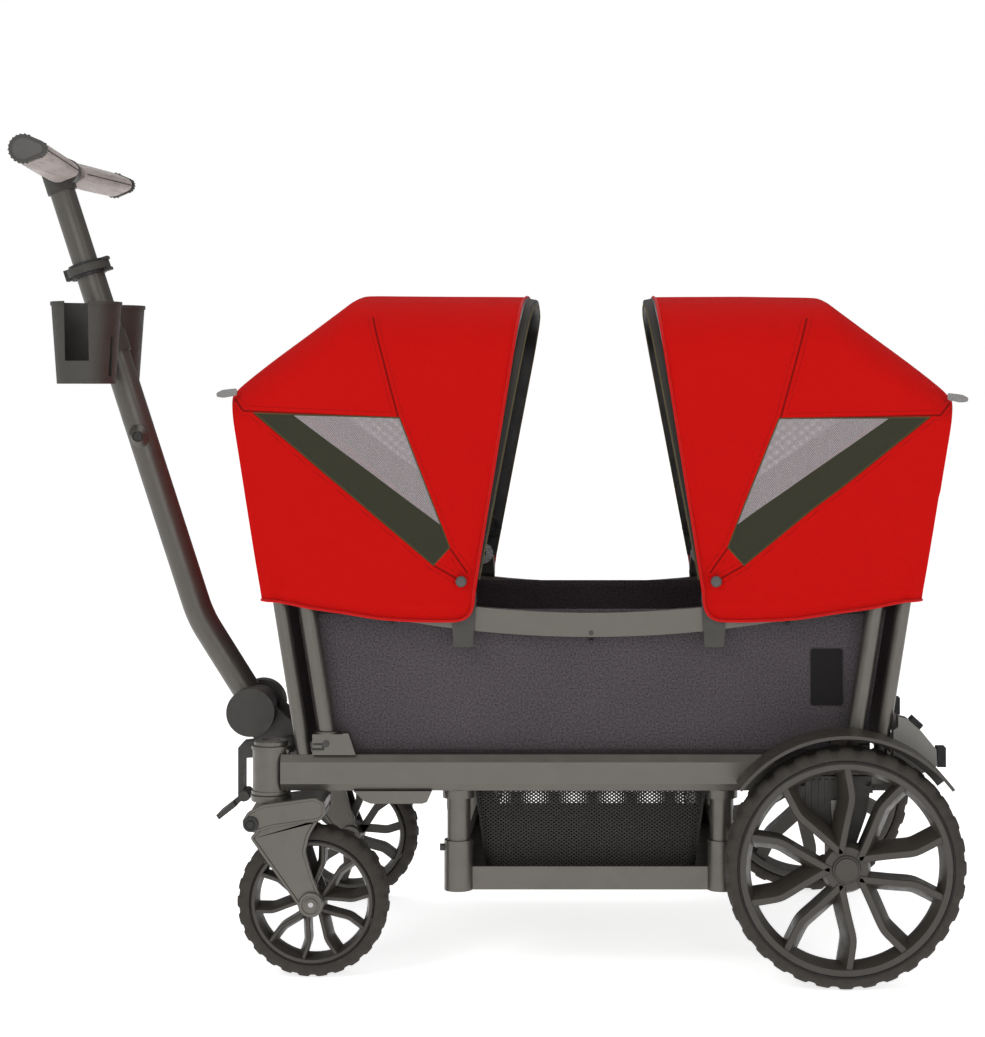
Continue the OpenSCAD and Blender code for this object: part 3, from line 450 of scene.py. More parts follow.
def bare_metal(name, colour, roughness=0.3, brush=(1, 1, 1)):
    """Plain metal: long fine scratches along one way and faint stains."""
    f = Finish(name, 1.0)
    scratch = f.noise(700, 3, vector=f.stretch(f.place, brush))
    dark, light = [tuple(v * k for v in colour[:3]) + (1.0,) for k in (0.8, 1.15)]
    f.set(base_color=f.mix(f.noise(30, 4), dark, light))
    f.set(roughness=f.between(scratch, 0.3, 0.7, roughness - 0.07, roughness + 0.12))
    f.set(normal=f.bump(scratch, 0.0001, 0.3))


def woven(name, light, dark, pitch=0.0012, heather=0.5, roughness=0.85, sheen=0.1):
    """Plain weave on the panel map: two sets of ribs that pass over and under, with flecked yarn."""
    f = Finish(name, sheen=sheen, specular=0.12)
    uv = f.split(f.uv)
    a = f.math("SINE", f.math("MULTIPLY", uv[0], 2 * math.pi / pitch))
    b = f.math("SINE", f.math("MULTIPLY", uv[1], 2 * math.pi / pitch))
    weave = f.math("MULTIPLY", a, b)
    fleck = f.noise(430, 3, 0.75, f.uv)
    tone = f.math("ADD", f.math("MULTIPLY", f.math("SUBTRACT", fleck, 0.5), heather * 2.2),
        f.math("MULTIPLY_ADD", weave, 0.12, 0.5), clamp=True)
    tone = f.math("ADD", tone, f.math("MULTIPLY", f.math("SUBTRACT", f.noise(7, 3, vector=f.uv), 0.5),
        0.25), clamp=True)
    f.set(base_color=f.mix(tone, dark, light), roughness=roughness)
    f.set(normal=f.bump(weave, 0.0004, 0.35, f.bump(f.noise(30, 3, vector=f.uv), 0.002, 0.12)))
    return f


CANOPY_WINDOW = [(-194, 514), (-174, 536), (-237, 698), (-417, 704)]
CANOPY_MESH = [(-184, 563), (-237, 698), (-368, 701)]
CANOPY_SEAMS = [
    [(-277, 846), (-239, 700), (-174, 536), (-152, 505)],
    [(-448, 727), (-431, 707), (-238, 698)],
    [(-418, 704), (-194, 514), (-159, 494)],
]


def canopy_cloth(name, colour):
    """Red cloth with its dark window band, the see-through knit in it, olive piping, seams and two rows of
    stitches, all on the panel map."""
    f = woven(name, tuple(v * 1.1 for v in colour[:3]) + (1.0,),
        tuple(v * 0.8 for v in colour[:3]) + (1.0,), 0.0011, 0.35, 0.85, 0.0)
    cloth = f.shader.inputs["Base Color"].links[0].from_socket
    ribs = f.shader.inputs["Normal"].links[0].from_socket
    window = f.inside(f.uv, CANOPY_WINDOW)
    knit = f.inside(f.uv, CANOPY_MESH)
    seam = f.near(f.uv, CANOPY_SEAMS[0])
    for line in CANOPY_SEAMS[1:]:
        seam = f.math("MINIMUM", seam, f.near(f.uv, line))
    in_window = f.between(window, -0.0002, 0.0002)
    in_knit = f.between(knit, -0.0002, 0.0002)
    groove = f.between(seam, 0.0004, 0.0016)
    row = f.math("ABSOLUTE", f.math("SUBTRACT", seam, 0.006))
    uv = f.split(f.uv)
    dash = f.math("GREATER_THAN", f.math("SINE", f.math("MULTIPLY", f.math("ADD", uv[0], uv[1]),
        2 * math.pi / 0.0042)), -0.35)
    stitch = f.math("MULTIPLY", f.between(row, 0.0003, 0.0008, 1.0, 0.0), dash)
    band = f.mix(f.noise(1100, 1, vector=f.uv), linear(38, 38, 28), linear(62, 62, 50))
    yarn = f.mix(f.noise(1000, 1, vector=f.uv), linear(128, 120, 122), linear(176, 168, 170))
    shade = f.mix(groove, linear(110, 6, 2), cloth)
    shade = f.mix(f.math("MULTIPLY", stitch, 0.6), shade, linear(120, 10, 6))
    shade = f.mix(in_window, shade, band)
    shade = f.mix(f.math("MULTIPLY", in_knit, in_window), shade, yarn)
    edge = f.between(f.math("ABSOLUTE", window), 0.0005, 0.0011, 1.0, 0.0)
    shade = f.mix(edge, shade, linear(74, 66, 40))
    f.set(base_color=shade)
    holes = f.math("MULTIPLY", f.math("COSINE", f.math("MULTIPLY", uv[0], 2 * math.pi / 0.0026)),
        f.math("COSINE", f.math("MULTIPLY", uv[1], 2 * math.pi / 0.002)))
    open_part = f.math("MULTIPLY", f.between(holes, 0.1, 0.3), 0.8)
    f.set(alpha=f.math("SUBTRACT", 1.0, f.math("MULTIPLY", f.math("MULTIPLY", in_knit, in_window),
        open_part)))
    f.set(normal=f.bump(groove, 0.0012, 0.6, f.bump(stitch, 0.0006, 0.5, ribs)))


def knit_mesh(name, colour, pitch=0.0064, row=0.0046, hole=0.22):
    """Open knit on the panel map: round holes in staggered rows, between thick dark yarn."""
    f = Finish(name, specular=0.3)
    uv = f.split(f.uv)
    weave = f.math("MULTIPLY", f.math("COSINE", f.math("MULTIPLY", uv[0], 2 * math.pi / pitch)),
        f.math("COSINE", f.math("MULTIPLY", uv[1], 2 * math.pi / row)))
    f.set(base_color=f.mix(f.noise(500, 2, vector=f.uv), tuple(v * 0.7 for v in colour[:3]) + (1.0,),
        colour), roughness=0.8)
    f.set(alpha=f.between(weave, hole, hole + 0.12, 1.0, 0.0))
    f.set(normal=f.bump(weave, -0.0008, 0.6))


def grip_hide(name, colour):
    """Soft grained cover: fine pebbles, worn lighter patches, and lengthwise folds with painted shade
    darkening their colour along the bar.
    """
    f = Finish(name, sheen=0.2, specular=0.35)
    pebble = f.cells(520)
    worn = f.noise(26, 5, 0.6, f.stretch(f.place, (1, 0.35, 1)))
    crease_and_painted_shade = f.noise(240, 3, 0.6, f.stretch(f.place, (1, 0.06, 1)))
    base = f.mix(worn, tuple(v * 0.62 for v in colour[:3]) + (1.0,),
        tuple(v * 1.3 for v in colour[:3]) + (1.0,))
    # Painted shade: the lengthwise folds are darkened toward a dim brown in the base colour.
    base = f.mix(f.between(crease_and_painted_shade, 0.34, 0.46, 0.55, 0.0), base, linear(70, 60, 58))
    f.set(base_color=base, roughness=f.between(worn, 0.3, 0.7, 0.72, 0.5))
    f.set(normal=f.bump(pebble, 0.0005, 0.35, f.bump(crease_and_painted_shade, 0.0012, 0.3)))


def foam_tread(name, colour):
    """Foam tyre: matt, pitted skin, with patches a little lighter and darker at random."""
    f = Finish(name, specular=0.3)
    f.set(base_color=f.mix(f.noise(40, 5, 0.6), tuple(v * 0.75 for v in colour[:3]) + (1.0,),
        tuple(v * 1.3 for v in colour[:3]) + (1.0,)))
    f.set(roughness=f.between(f.noise(150, 3), 0.3, 0.7, 0.72, 0.92))
    f.set(normal=f.bump(f.noise(1500, 3, 0.7), 0.0005, 0.4))


def make_finishes(look):
    """All finishes, from the colours in the panel."""
    frame_colour = tuple(look.frame_colour) + (1.0,)
    powder_coat("frame_coat", frame_colour)
    powder_coat("tube_coat", tuple(v * 0.75 for v in look.frame_colour) + (1.0,), 0.55, 0.38)
    moulded("dark_plastic", linear(56, 54, 50))
    moulded("rim_plastic", linear(58, 54, 49), 0.4, 900)
    moulded("rim_line", linear(20, 19, 18), 0.6)
    moulded("black_plastic", linear(30, 29, 28), 0.45)
    moulded("grey_cap", linear(72, 71, 69), 0.5)
    moulded("deck_board", linear(46, 45, 44), 0.6, 600)
    moulded("rubber", linear(28, 28, 28), 0.75, 1800)
    bare_metal("steel", (0.42, 0.42, 0.42, 1), 0.3, (1, 0.1, 1))
    bare_metal("cast_metal", (0.2, 0.195, 0.18, 1), 0.45)
    bare_metal("satin_strip", (0.16, 0.16, 0.165, 1), 0.42)
    foam_tread("tyre_foam", linear(54, 50, 46))
    woven("side_fabric", linear(94, 88, 92), linear(34, 31, 33), 0.0018, 1.0)
    woven("patch_fabric", linear(34, 32, 32), linear(22, 20, 20), 0.001, 0.3)
    woven("canopy_plain", tuple(v * 1.1 for v in look.canopy_colour) + (1.0,),
        tuple(v * 0.8 for v in look.canopy_colour) + (1.0,), 0.0011, 0.35, 0.8, 0.15)
    woven("bow_webbing", linear(64, 62, 58), linear(40, 38, 36), 0.002, 0.3)
    woven("olive_piping", linear(110, 100, 70), linear(70, 62, 40), 0.001, 0.3)
    woven("pull_tape", linear(150, 148, 146), linear(96, 94, 92), 0.0016, 0.3)
    canopy_cloth("canopy_cloth", tuple(look.canopy_colour) + (1.0,))
    knit_mesh("footwell_knit", linear(58, 56, 54))
    grip_hide("grip_hide", linear(150, 140, 134))


# ---------------------------------------------------------------- canopies

CANOPY_STATIONS = np.array([
    # foot x, foot z, roof x, roof z, half width at the foot, half width at the roof, corner radius
    [-143, 482, -84, 857, 243, 217, 70],
    [-144, 466, -88, 857.1, 243, 217, 70],
    [-149, 453, -94, 857.2, 243, 218, 70],
    [-160, 446, -104, 857.3, 243, 218, 70],
    [-178, 444.5, -122, 857.4, 243, 220, 70],
    [-215, 445, -160, 857.5, 243, 223, 69],
    [-260, 448, -205, 857.7, 243, 228, 67],
    [-305, 455, -250, 858, 243, 233, 64],
    [-340, 460, -286, 858.2, 243, 237, 61],
    [-352, 462, -299, 856.5, 243, 238, 60],
    [-362, 464, -314, 846, 243, 239, 58],
    [-376, 467, -356, 815, 243, 240, 54],
    [-390, 469.5, -404, 780, 243, 241, 49],
    [-402, 470.5, -440, 752, 243, 242, 45],
    [-408, 471, -451, 741, 242, 242, 44],
])


def arch(foot, roof, height, corner=70.0, crown=8.0, counts=(16, 9, 12)):
    """Half an arch as (y, height): a straight leg, a round corner, then a crown that is an arc of a large
    circle."""
    c = math.radians(crown)
    big = (roof - corner + corner * math.sin(c)) / math.sin(c)
    leg = height - big * (1 - math.cos(c)) - corner * math.cos(c)
    t = np.linspace(0, 1, counts[0])
    a = np.linspace(0, math.pi / 2 - c, counts[1])[1:]
    b = np.linspace(c, 0, counts[2])[1:]
    y = np.concatenate([foot + (roof - foot) * t, roof - corner + corner * np.cos(a), big * np.sin(b)])
    h = np.concatenate([leg * t, leg + corner * np.sin(a), height - big * (1 - np.cos(b))])
    return y, h


def canopy_rings(billow, steps=3):
    """Arches from the bow to the back corner, each in the plane of its own foot and roof line, then the
    back panel as smaller copies of the last arch."""
    rings = []
    for fx, fz, rx, rz, foot, roof, corner in spline(CANOPY_STATIONS, steps):
        y, h = arch(foot, roof, math.hypot(rx - fx, rz - fz), corner)
        y, h = np.concatenate([-y, y[-2::-1]]), np.concatenate([h, h[-2::-1]])
        up = h / math.hypot(rx - fx, rz - fz)
        rings.append(np.stack([fx + (rx - fx) * up, y, fz + (rz - fz) * up], 1))
    rings = np.array(rings)
    last = rings[-1].copy()
    middle = np.array([last[0, 0], 0, last[0, 2]])
    for part in (0.985, 0.95, 0.88, 0.76, 0.62, 0.48, 0.34, 0.2, 0.08, 0.0):
        ring = middle + (last - middle) * part
        ring[:, 0] -= billow * math.sin(math.pi * part) * np.clip((ring[:, 2] - 470) / 120, 0, 1)
        rings = np.concatenate([rings, ring[None]])
    k, n = len(rings), rings.shape[1]
    along = np.linspace(0, 1, k)[:, None]
    height = np.clip((rings[..., 2] - 450) / 400, 0, 1)
    wave = np.sin(along * 23 + height * 5) * np.sin(height * 9 + along * 7) * 0.9
    wave += np.exp(-((rings[..., 0] + 405) / 30) ** 2) * np.exp(-((rings[...,
        2] - 480) / 40) ** 2) * np.sin(rings[..., 0] * 0.28) * 2.0
    side = np.sign(rings[..., 1]) * (np.abs(rings[..., 1]) > 200)
    rings[..., 1] += side * wave * np.clip((0.98 - along) * 6, 0, 1)
    return rings


def make_canopies(sizes):
    """Each canopy is one curved sheet over its bow and rib; the rear one is the front one mirrored about
    the middle of the tub."""
    rings = canopy_rings(sizes.canopy_billow * 1000)
    edge = np.concatenate([rings[::-1, 0][:-1], rings[0], rings[:, -1][1:]])
    edge = edge[np.concatenate([[True], np.linalg.norm(np.diff(edge, axis=0), axis=1) > 0.5])]
    for end, mirror in (("front", False), ("rear", True)):
        cloth = Shape().add(rings, [grid_faces(rings.shape[0], rings.shape[1])[:, ::-1]], closed=False)
        obj = piece(f"canopy_sheet_{end}", cloth, None, ["canopy_cloth"],
            [f"canopy_cover_{end}"], 40, mirror)
        thicken(obj, 0.0012)
        binding = Shape()
        binding.loft(tube(edge, 1.9, 8))
        rim = piece(f"canopy_binding_{end}", binding, None, ["canopy_plain"], (), 60,
            mirror)
        loops = Shape()
        tab = fillet([[-440, 735], [-458, 733], [-466, 729], [-465, 724], [-456, 723], [-440, 726]], 2.5, 4)
        for y in (-1, 1):
            loops.loft(plate(tab, y * 233, y * 236, 0.7), 0)
        pulls = piece(f"canopy_pulls_{end}", loops, None, ["pull_tape"], (), 40, mirror)
        snaps = Shape()
        for y in (-1, 1):
            snaps.loft(revolve([(7.0, y * 243.5), (7.0, y * 244.6), (5.9, y * 246.3), (3.0, y * 247.2),
                (0.4, y * 247.4)], (-159, 494), 28))
        piece(f"canopy_snaps_{end}", snaps, f"bow_{end}", ["grey_cap"], (), 32, mirror)
        for part in (obj, rim, pulls):
            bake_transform(part)


def tube(path, radius, n=16):
    """A round tube along any path: its section is carried along without twist."""
    path = np.asarray(path, float)
    t = np.gradient(path, axis=0)
    t /= np.linalg.norm(t, axis=1)[:, None]
    u = np.zeros_like(t)
    first = np.cross(t[0], [0.3, 0.2, 0.9])
    u[0] = first / np.linalg.norm(first)
    for i in range(1, len(t)):
        step = u[i - 1] - (u[i - 1] @ t[i]) * t[i]
        u[i] = step / np.linalg.norm(step)
    v = np.cross(t, u)
    a = np.linspace(0, 2 * np.pi, n, endpoint=False)
    r = np.broadcast_to(np.asarray(radius, float).reshape(-1, 1, 1), (len(path), 1, 1))
    return path[:, None] + r * (np.cos(a)[None, :, None] * u[:, None] + np.sin(a)[None, :, None] * v[:,
        None])


def make_bows():
    """Flat hoops: a moulded bow with a satin strip, a webbing strip and piping on its outer face, and a
    notched dial on each leg."""
    y, h = arch(209, 209, 361.5, 75, 8, (10, 12, 12))
    y, h = np.concatenate([-y, y[-2::-1]]), np.concatenate([h, h[-2::-1]])
    path = np.stack([np.zeros(len(y)), y, h], 1)
    for end, mirror in (("front", False), ("rear", True)):
        bow = Shape()
        for finish, x0, x1, t0, t1 in ((0, -8, 18, -4, 3.6), (1, -1, 8.5, 2.4, 5.0),
                (2, 8.5, 17.6, 2.4, 4.6)):
            section = rounded_box(x1 - x0, t1 - t0, 1.0, 3) + [(x0 + x1) / 2, (t0 + t1) / 2]
            bow.loft(hoop_rings(path, section), finish)
        bow.loft(hoop_rings(path, circle(1.5, 8) + [18.2, -2.5]), 3)
        for s in (-1, 1):
            ring = [(17, 201.5), (17, 198.5), (15.5, 197.6), (13.5, 197.6), (12.8, 198.8), (8.4, 198.8),
                (7.6, 197.4), (4.8, 197.4), (4.4, 198.4), (0.4, 198.4)]
            bow.loft(revolve([(17, 205)] + ring, (3, 40), 40) * [1, s, 1], 0)
            for k in range(DIAL_TEETH):
                a = 2 * math.pi * k / DIAL_TEETH
                tooth = revolve([(1.3, 199.5), (1.3, 197.0), (0.5, 196.6)],
                    (3 + 10.6 * math.cos(a), 40 + 10.6 * math.sin(a)), 8)
                bow.loft(tooth * [1, s, 1], 0)
        bow.points = [lean(p, BOW_LEAN, (0, 0)) + BOW_PIVOT for p in bow.points]
        piece(f"bow_hoop_{end}", bow, f"bow_{end}",
            ["black_plastic", "satin_strip", "bow_webbing", "olive_piping"],
            [f"canopy_bow_{end}"], 35, mirror)


def hoop_rings(path, section):
    """A section carried round a hoop: its first axis across the hoop's plane (x), its second outward."""
    t = np.gradient(path, axis=0)
    t /= np.linalg.norm(t, axis=1)[:, None]
    out = np.stack([np.zeros(len(t)), -t[:, 2], t[:, 1]], 1)
    return path[:, None] + section[None, :, :1] * np.array([1.0, 0, 0]) + section[None, :, 1:] * out[:,
        None]


# ---------------------------------------------------------------- tub cloth

def make_side_cloth(sizes):
    """Each side is a stretched sheet between the posts: a straight-edged panel with a slight bow between
    its fixings, double seams and, on the left, a blank patch."""
    u, v = np.meshgrid(np.linspace(0, 1, 61), np.linspace(0, 1, 17), indexing="ij")
    z = 272 + (457 - 272) * v
    spread = (z - WALL_FOOT) * WALL_LEAN
    x = (-338 - spread) * (1 - u) + (346 + spread) * u
    out = 214.3 + 1.0 * np.sin(np.pi * v) * np.sin(u * 9.4) ** 2 * sizes.cloth_slack
    for name, s in (("left", -1), ("right", 1)):
        cloth = Shape().add(np.stack([x, s * out, z], 2), [grid_faces(61, 17)[:, ::s]], closed=False)
        obj = piece(f"side_cloth_{name}", cloth, "chassis", ["side_fabric"],
            ["side_panels"] if s < 0 else (), 40)
        thicken(obj, 0.002, 1.0)
        seams = Shape()
        for zz in (276, 281, 450):
            line = np.stack([np.linspace(-338, 346, 40), np.full(40, s * 215.4), np.full(40, zz)], 1)
            seams.loft(sweep(line, rounded_box(0.8, 1.6, 0.3, 2)))
        if s < 0:
            mark = fillet([[279, 336], [319, 336], [319, 407], [279, 407]], 3, 4)
            seams.loft(plate(mark, -215.2, -217.0, 0.4), 1)
        piece(f"side_seams_{name}", seams, "chassis", ["side_fabric", "patch_fabric"], (),
            40)


def make_end_cloth():
    """The end sheets, stretched between the corner posts and bowed a little outward."""
    u, v = np.meshgrid(np.linspace(-1, 1, 41), np.linspace(0, 1, 15), indexing="ij")
    for name, x0, s in (("front", -357, -1), ("rear", 365, 1)):
        z = 279 + (470 - 279) * v
        x = x0 + s * ((z - WALL_FOOT) * WALL_LEAN + 2.0 + 1.2 * np.cos(u * np.pi / 2) * np.sin(np.pi * v))
        y = u * 216.0
        cloth = Shape().add(np.stack([x, y, z], 2), [grid_faces(41, 15)[:, ::-s]], closed=False)
        obj = piece(f"end_cloth_{name}", cloth, "chassis", ["side_fabric"],
            ["end_panels"] if s < 0 else (), 40)
        thicken(obj, 0.003)


# ---------------------------------------------------------------- wheels

def wheel_rings(centre, radius, width, y_out, side, spokes, phase, rim, lugs, scale):
    """Rim, hub, paired spokes and lugged tyre of one wheel. side is -1 on the left; depth runs inward from
    the outer face."""
    def at(depth):
        return side * (y_out - np.asarray(depth, float))
    body, tyre = Shape(), Shape()
    k = scale
    lip = [(rim - 11 * k, 7), (rim - 9 * k, 1.6), (rim - 3 * k, 0.6), (rim - 1.2 * k, 1.8),
        (rim - 0.6 * k, 5), (rim - 0.6 * k, width - 2), (rim - 4 * k, width), (rim - 10 * k, width),
        (rim - 15 * k, width * 0.62), (rim - 15.5 * k, width * 0.35)]
    profile = np.array([(r, at(d)) for r, d in lip])
    body.loft(revolve(profile, centre, 120), 0, loop=True)
    line = np.array([(rim - 0.5 * k, at(1.2)), (rim + 0.8 * k, at(1.4)), (rim + 0.8 * k, at(6)),
        (rim - 1.0 * k, at(6))])
    body.loft(revolve(line, centre, 120), 1, loop=True)
    hub = [(0.4, -1.2), (14 * k, -1.2), (14.6 * k, -0.4), (14.8 * k, 1.2), (16.6 * k, 1.2), (17.2 * k, 2.2),
        (17.8 * k, 4.4), (27 * k, 5.4), (31 * k, 16), (26 * k, width * 0.8), (22 * k, width), (0.4, width)]
    body.loft(revolve(np.array([(r, at(d)) for r, d in hub]), centre, 64), 0)
    for i in range(spokes):
        for hand in (-1, 1):
            mid = phase + 2 * math.pi * i / spokes
            radii = np.array([20, 25, 56, 87, 108, 126]) * k
            swing = np.radians([1.0, 5.0, 19.0, 23.4, 20.6, 18.8]) * hand + mid
            corners = np.stack([centre[0] + radii * np.cos(swing), np.zeros(6),
                centre[1] + radii * np.sin(swing)], 1)
            path = fillet(corners, 8 * k, 4, False)
            face, depth = 4.5 * k, width * 0.5
            across = np.array([[-face, 5.0], [-face + 1, 3.4], [face - 1, 3.4], [face, 5.0],
                [face + 9 * k, depth], [face + 9 * k, depth + 16 * k], [-face, depth + 16 * k]])
            t = np.gradient(path, axis=0)
            t /= np.linalg.norm(t, axis=1)[:, None]
            toward = np.stack([t[:, 2], np.zeros(len(t)), -t[:, 0]], 1) * hand
            rings = path[:, None] + across[None, :, :1] * toward[:, None]
            rings[..., 1] = at(across[:, 1])[None]
            body.loft(rings, 0)
    n = lugs * 12
    a = np.linspace(0, 2 * np.pi, n, endpoint=False)
    depth = np.array([6, 2.2, 1.0, 2.6, 6.5, 12.5, 13.5, 20, 28, 34.5, 35.5, 41.5, 45.4, 47, 45.8,
        42]) / 48 * width
    base = np.array([-13.5, -12.5, -9.0, -3.0, 1.2, 2.6, 0.2, 1.6, 1.6, 0.2, 2.6, 1.2, -3.0, -9.0, -12.5,
        -13.5])
    tread = radius + base * (radius - rim) / 14
    cut = np.array([0, 0, 0.25, 1, 1, 1, 0.2, 0, 0, 0.2, 1, 1, 1, 0.25, 0, 0])
    wave = np.clip(np.cos(a * lugs) * 3.0 + 0.9, -1, 1) * 0.5 + 0.5
    stagger = np.clip(np.cos(a * lugs + np.pi) * 3.0 + 0.9, -1, 1) * 0.5 + 0.5
    lift = np.where((np.arange(16) < 8)[:, None], wave[None], stagger[None])
    r = tread[:, None] - cut[:, None] * (1 - lift) * 2.7 * (0.6 + 0.4 * k)
    rings = np.stack([centre[0] + r * np.cos(a), np.broadcast_to(at(depth)[:, None], r.shape),
        centre[1] + r * np.sin(a)], 2)
    tyre.loft(rings, 0, loop=True)
    return body, tyre


def make_wheels(sizes):
    """The four wheels, each a rim piece and a tyre piece on its own axle."""
    for name, s in (("left", -1), ("right", 1)):
        body, tyre = wheel_rings((REAR_AXLE_X, REAR_R), REAR_R, REAR_WIDTH, REAR_FACE, s, SPOKE_PAIRS,
            math.radians(36.5), REAR_RIM, sizes.rear_lugs, 1.0)
        piece(f"rear_wheel_rim_{name}", body, f"rear_wheel_{name}", ["rim_plastic", "rim_line"],
            [f"rear_rim_{name}"], 30)
        piece(f"rear_wheel_tyre_{name}", tyre, f"rear_wheel_{name}", ["tyre_foam"],
            [f"rear_tyre_{name}"], 40)
        body, tyre = wheel_rings(FRONT_AXLE, FRONT_R, FRONT_WIDTH, FRONT_FACE, s, SPOKE_PAIRS,
            math.radians(26), FRONT_RIM, sizes.front_lugs, 0.58)
        bolt = [(15.6, 236.5), (15.6, 239.0), (14.2, 239.8), (10.4, 239.8), (10.0, 239.0), (8.6, 239.0),
            (8.2, 241.0), (0.4, 241.4)]
        body.loft(revolve(np.array(bolt) * [1, s], FRONT_AXLE, 40), 0)
        piece(f"front_wheel_rim_{name}", body, f"front_wheel_{name}", ["rim_plastic", "rim_line"],
            [f"front_rim_{name}"], 30)
        piece(f"front_wheel_tyre_{name}", tyre, f"front_wheel_{name}", ["tyre_foam"],
            [f"front_tyre_{name}"], 40)


# ---------------------------------------------------------------- handle

def handle_path(near, far):
    """Points up the handle from near to far, measured from the pivot along its centre line, with the bend
    as an arc."""
    d = np.linspace(near, far, 60)
    ease = 22.0
    t = np.clip((d - BEND_AT + ease) / (2 * ease), 0, 1)
    angle = LOW_LEAN + (UP_LEAN - LOW_LEAN) * t
    step = np.diff(d, prepend=d[0])
    start = PIVOT + near * LOW_DIR
    x = start[0] - np.cumsum(np.sin(angle) * step)
    z = start[1] + np.cumsum(np.cos(angle) * step)
    return np.stack([x, np.zeros(60), z], 1)


def up_handle(dist):
    """A point dist up the upper tube's centre line from the bend."""
    p = BEND + UP_DIR * dist
    return np.array([p[0], 0.0, p[1]])


def ring_up(profile, dist, n=40):
    """A (radius, along) profile turned round the upper tube at dist up from the bend."""
    r, h = np.asarray(profile, float).T
    a = np.linspace(0, 2 * np.pi, n, endpoint=False)
    square = np.array([-UP_DIR[1], 0, UP_DIR[0]])
    along = np.array([UP_DIR[0], 0, UP_DIR[1]])
    across = r[:, None, None] * (np.cos(a)[None, :, None] * square + np.sin(a)[None, :,
        None] * np.array([0, 1.0, 0]))
    return up_handle(dist) + h[:, None, None] * along + across


def make_handle_tube():
    """The lower tube with its bend as one arc, a rolled lip at its top, and the boss round the push button."""
    body = Shape()
    body.loft(sweep(handle_path(26, BEND_AT + HANDLE_TOP), circle(19, 40)), 0)
    body.loft(ring_up([(18.9, -1), (19.6, 0.4), (19.6, 2.6), (18.4, 3.2), (17.2, 3.0), (17.2, -1)], 484), 0,
        loop=True)
    a = np.linspace(0, 2 * np.pi, 40, endpoint=False)
    centre = up_handle(252)
    along, square = np.array([UP_DIR[0], 0, UP_DIR[1]]), np.array([-UP_DIR[1], 0, UP_DIR[0]])
    rings = []
    for wide, tall, y in ((13, 17, -13), (12.6, 16.6, -18.6), (10.6, 14, -20.6), (8.2, 8.8, -24.6),
            (7.2, 7.6, -25.4), (6.7, 6.9, -24.8), (6.5, 6.5, -18)):
        rings.append(centre + wide * np.cos(a)[:, None] * square + tall * np.sin(a)[:, None] * along + [0,
            y, 0])
    body.loft(np.array(rings), 0)
    piece("handle_lower_tube", body, "handle", ["tube_coat"], ["handle_tube"], 40)


GRIP_MIDDLE = np.array([-710.9, 0.0, 1026.9])
GRIP_END = np.array([16.0, 265.0, 5.0])


def grip_outline(more=0.0, n=14):
    """An egg-shaped section: a large arc in front, a small one behind and straight flanks, as (forward,
    up)."""
    turn = math.acos(7 / 18)
    a = np.linspace(turn, 2 * np.pi - turn, 2 * n)
    b = np.linspace(-turn, turn, n)
    big = np.stack([-5 + (17 + more) * np.cos(a), (17 + more) * np.sin(a)], 1)
    small = np.stack([13 + (10 + more) * np.cos(b), (10 + more) * np.sin(b)], 1)
    return np.concatenate([big, small])


def grip_rings(side, stops, more):
    """Egg sections along one half of the grip, each grown by its own amount."""
    d = GRIP_END * [1, side, 1]
    d /= np.linalg.norm(d)
    ex = np.array([1.0, 0, 0]) - d[0] * d
    ex /= np.linalg.norm(ex)
    ez = np.cross(d, ex) * -side
    return np.array([GRIP_MIDDLE + d * t + grip_outline(m)[:, :1] * ex + grip_outline(m)[:, 1:] * ez for t,
        m in zip(stops, more)])


def make_grip():
    """Two padded halves, a little fuller in their middle and drawn in at their seams, with lengthwise
    stitched seams, and the end caps' faces."""
    cover, caps = Shape(), Shape()
    t = np.linspace(0, 1, 48)
    stops = 22 + t * 233
    swell = 0.5 * np.sin(np.pi * t) ** 0.35 - 1.1 * np.exp(-t / 0.03) - 0.9 * np.exp(-(1 - t)
        / 0.02) + 0.12 * np.sin(t * 61)
    for side in (-1, 1):
        rings = grip_rings(side, stops, swell)
        cover.loft(rings, 0)
        for k in (7, 19, 34):
            seam = rings[1:-1, k] + (rings[1:-1, k] - rings[1:-1].mean(1)) * 0.012
            cover.loft(tube(seam, 0.65, 6), 1)
        caps.loft(grip_rings(side, [264.6, 265.6, 266.0], [-3.6, -3.6, -4.2]), 0)
        for k in range(20):
            spot = grip_rings(side, [256.6, 264.4], [1.1, 1.1])[:, 2 * k]
            caps.loft(tube(spot, 0.9, 6), 1)
    pad = piece("grip_cover_piece", cover, "handle_top", ["grip_hide", "patch_fabric"],
        ["grip_cover"], 50)
    piece("grip_end_faces", caps, "handle_top", ["grey_cap", "black_plastic"], (), 40)


# ---------------------------------------------------------------- casters

LEG_OUTLINE = [(-22, 175), (38, 90), (43, 81), (53, 77), (63, 80), (69, 90), (67, 100), (58, 122),
    (47, 158), (52, 178), (64, 198), (28, 197), (-7, 190)]
CROWN_OUTLINE = [(-31, 196), (-27, 186), (-16, 182), (8, 189), (66, 197), (72, 204), (72, 219), (60, 226),
    (-6, 217), (-24, 208)]


def raised_plate(outline, y0, y1, border=3.4, deep=1.3):
    """A plate whose outer face, at y1, has a raised border round a lowered middle."""
    s = math.copysign(1.0, y1 - y0)
    return slab(outline, [(0.8, y0), (0, y0 + s * 0.8), (0, y1 - s * 0.9), (0.9, y1), (border, y1),
        (border + 0.9, y1 - s * deep)])


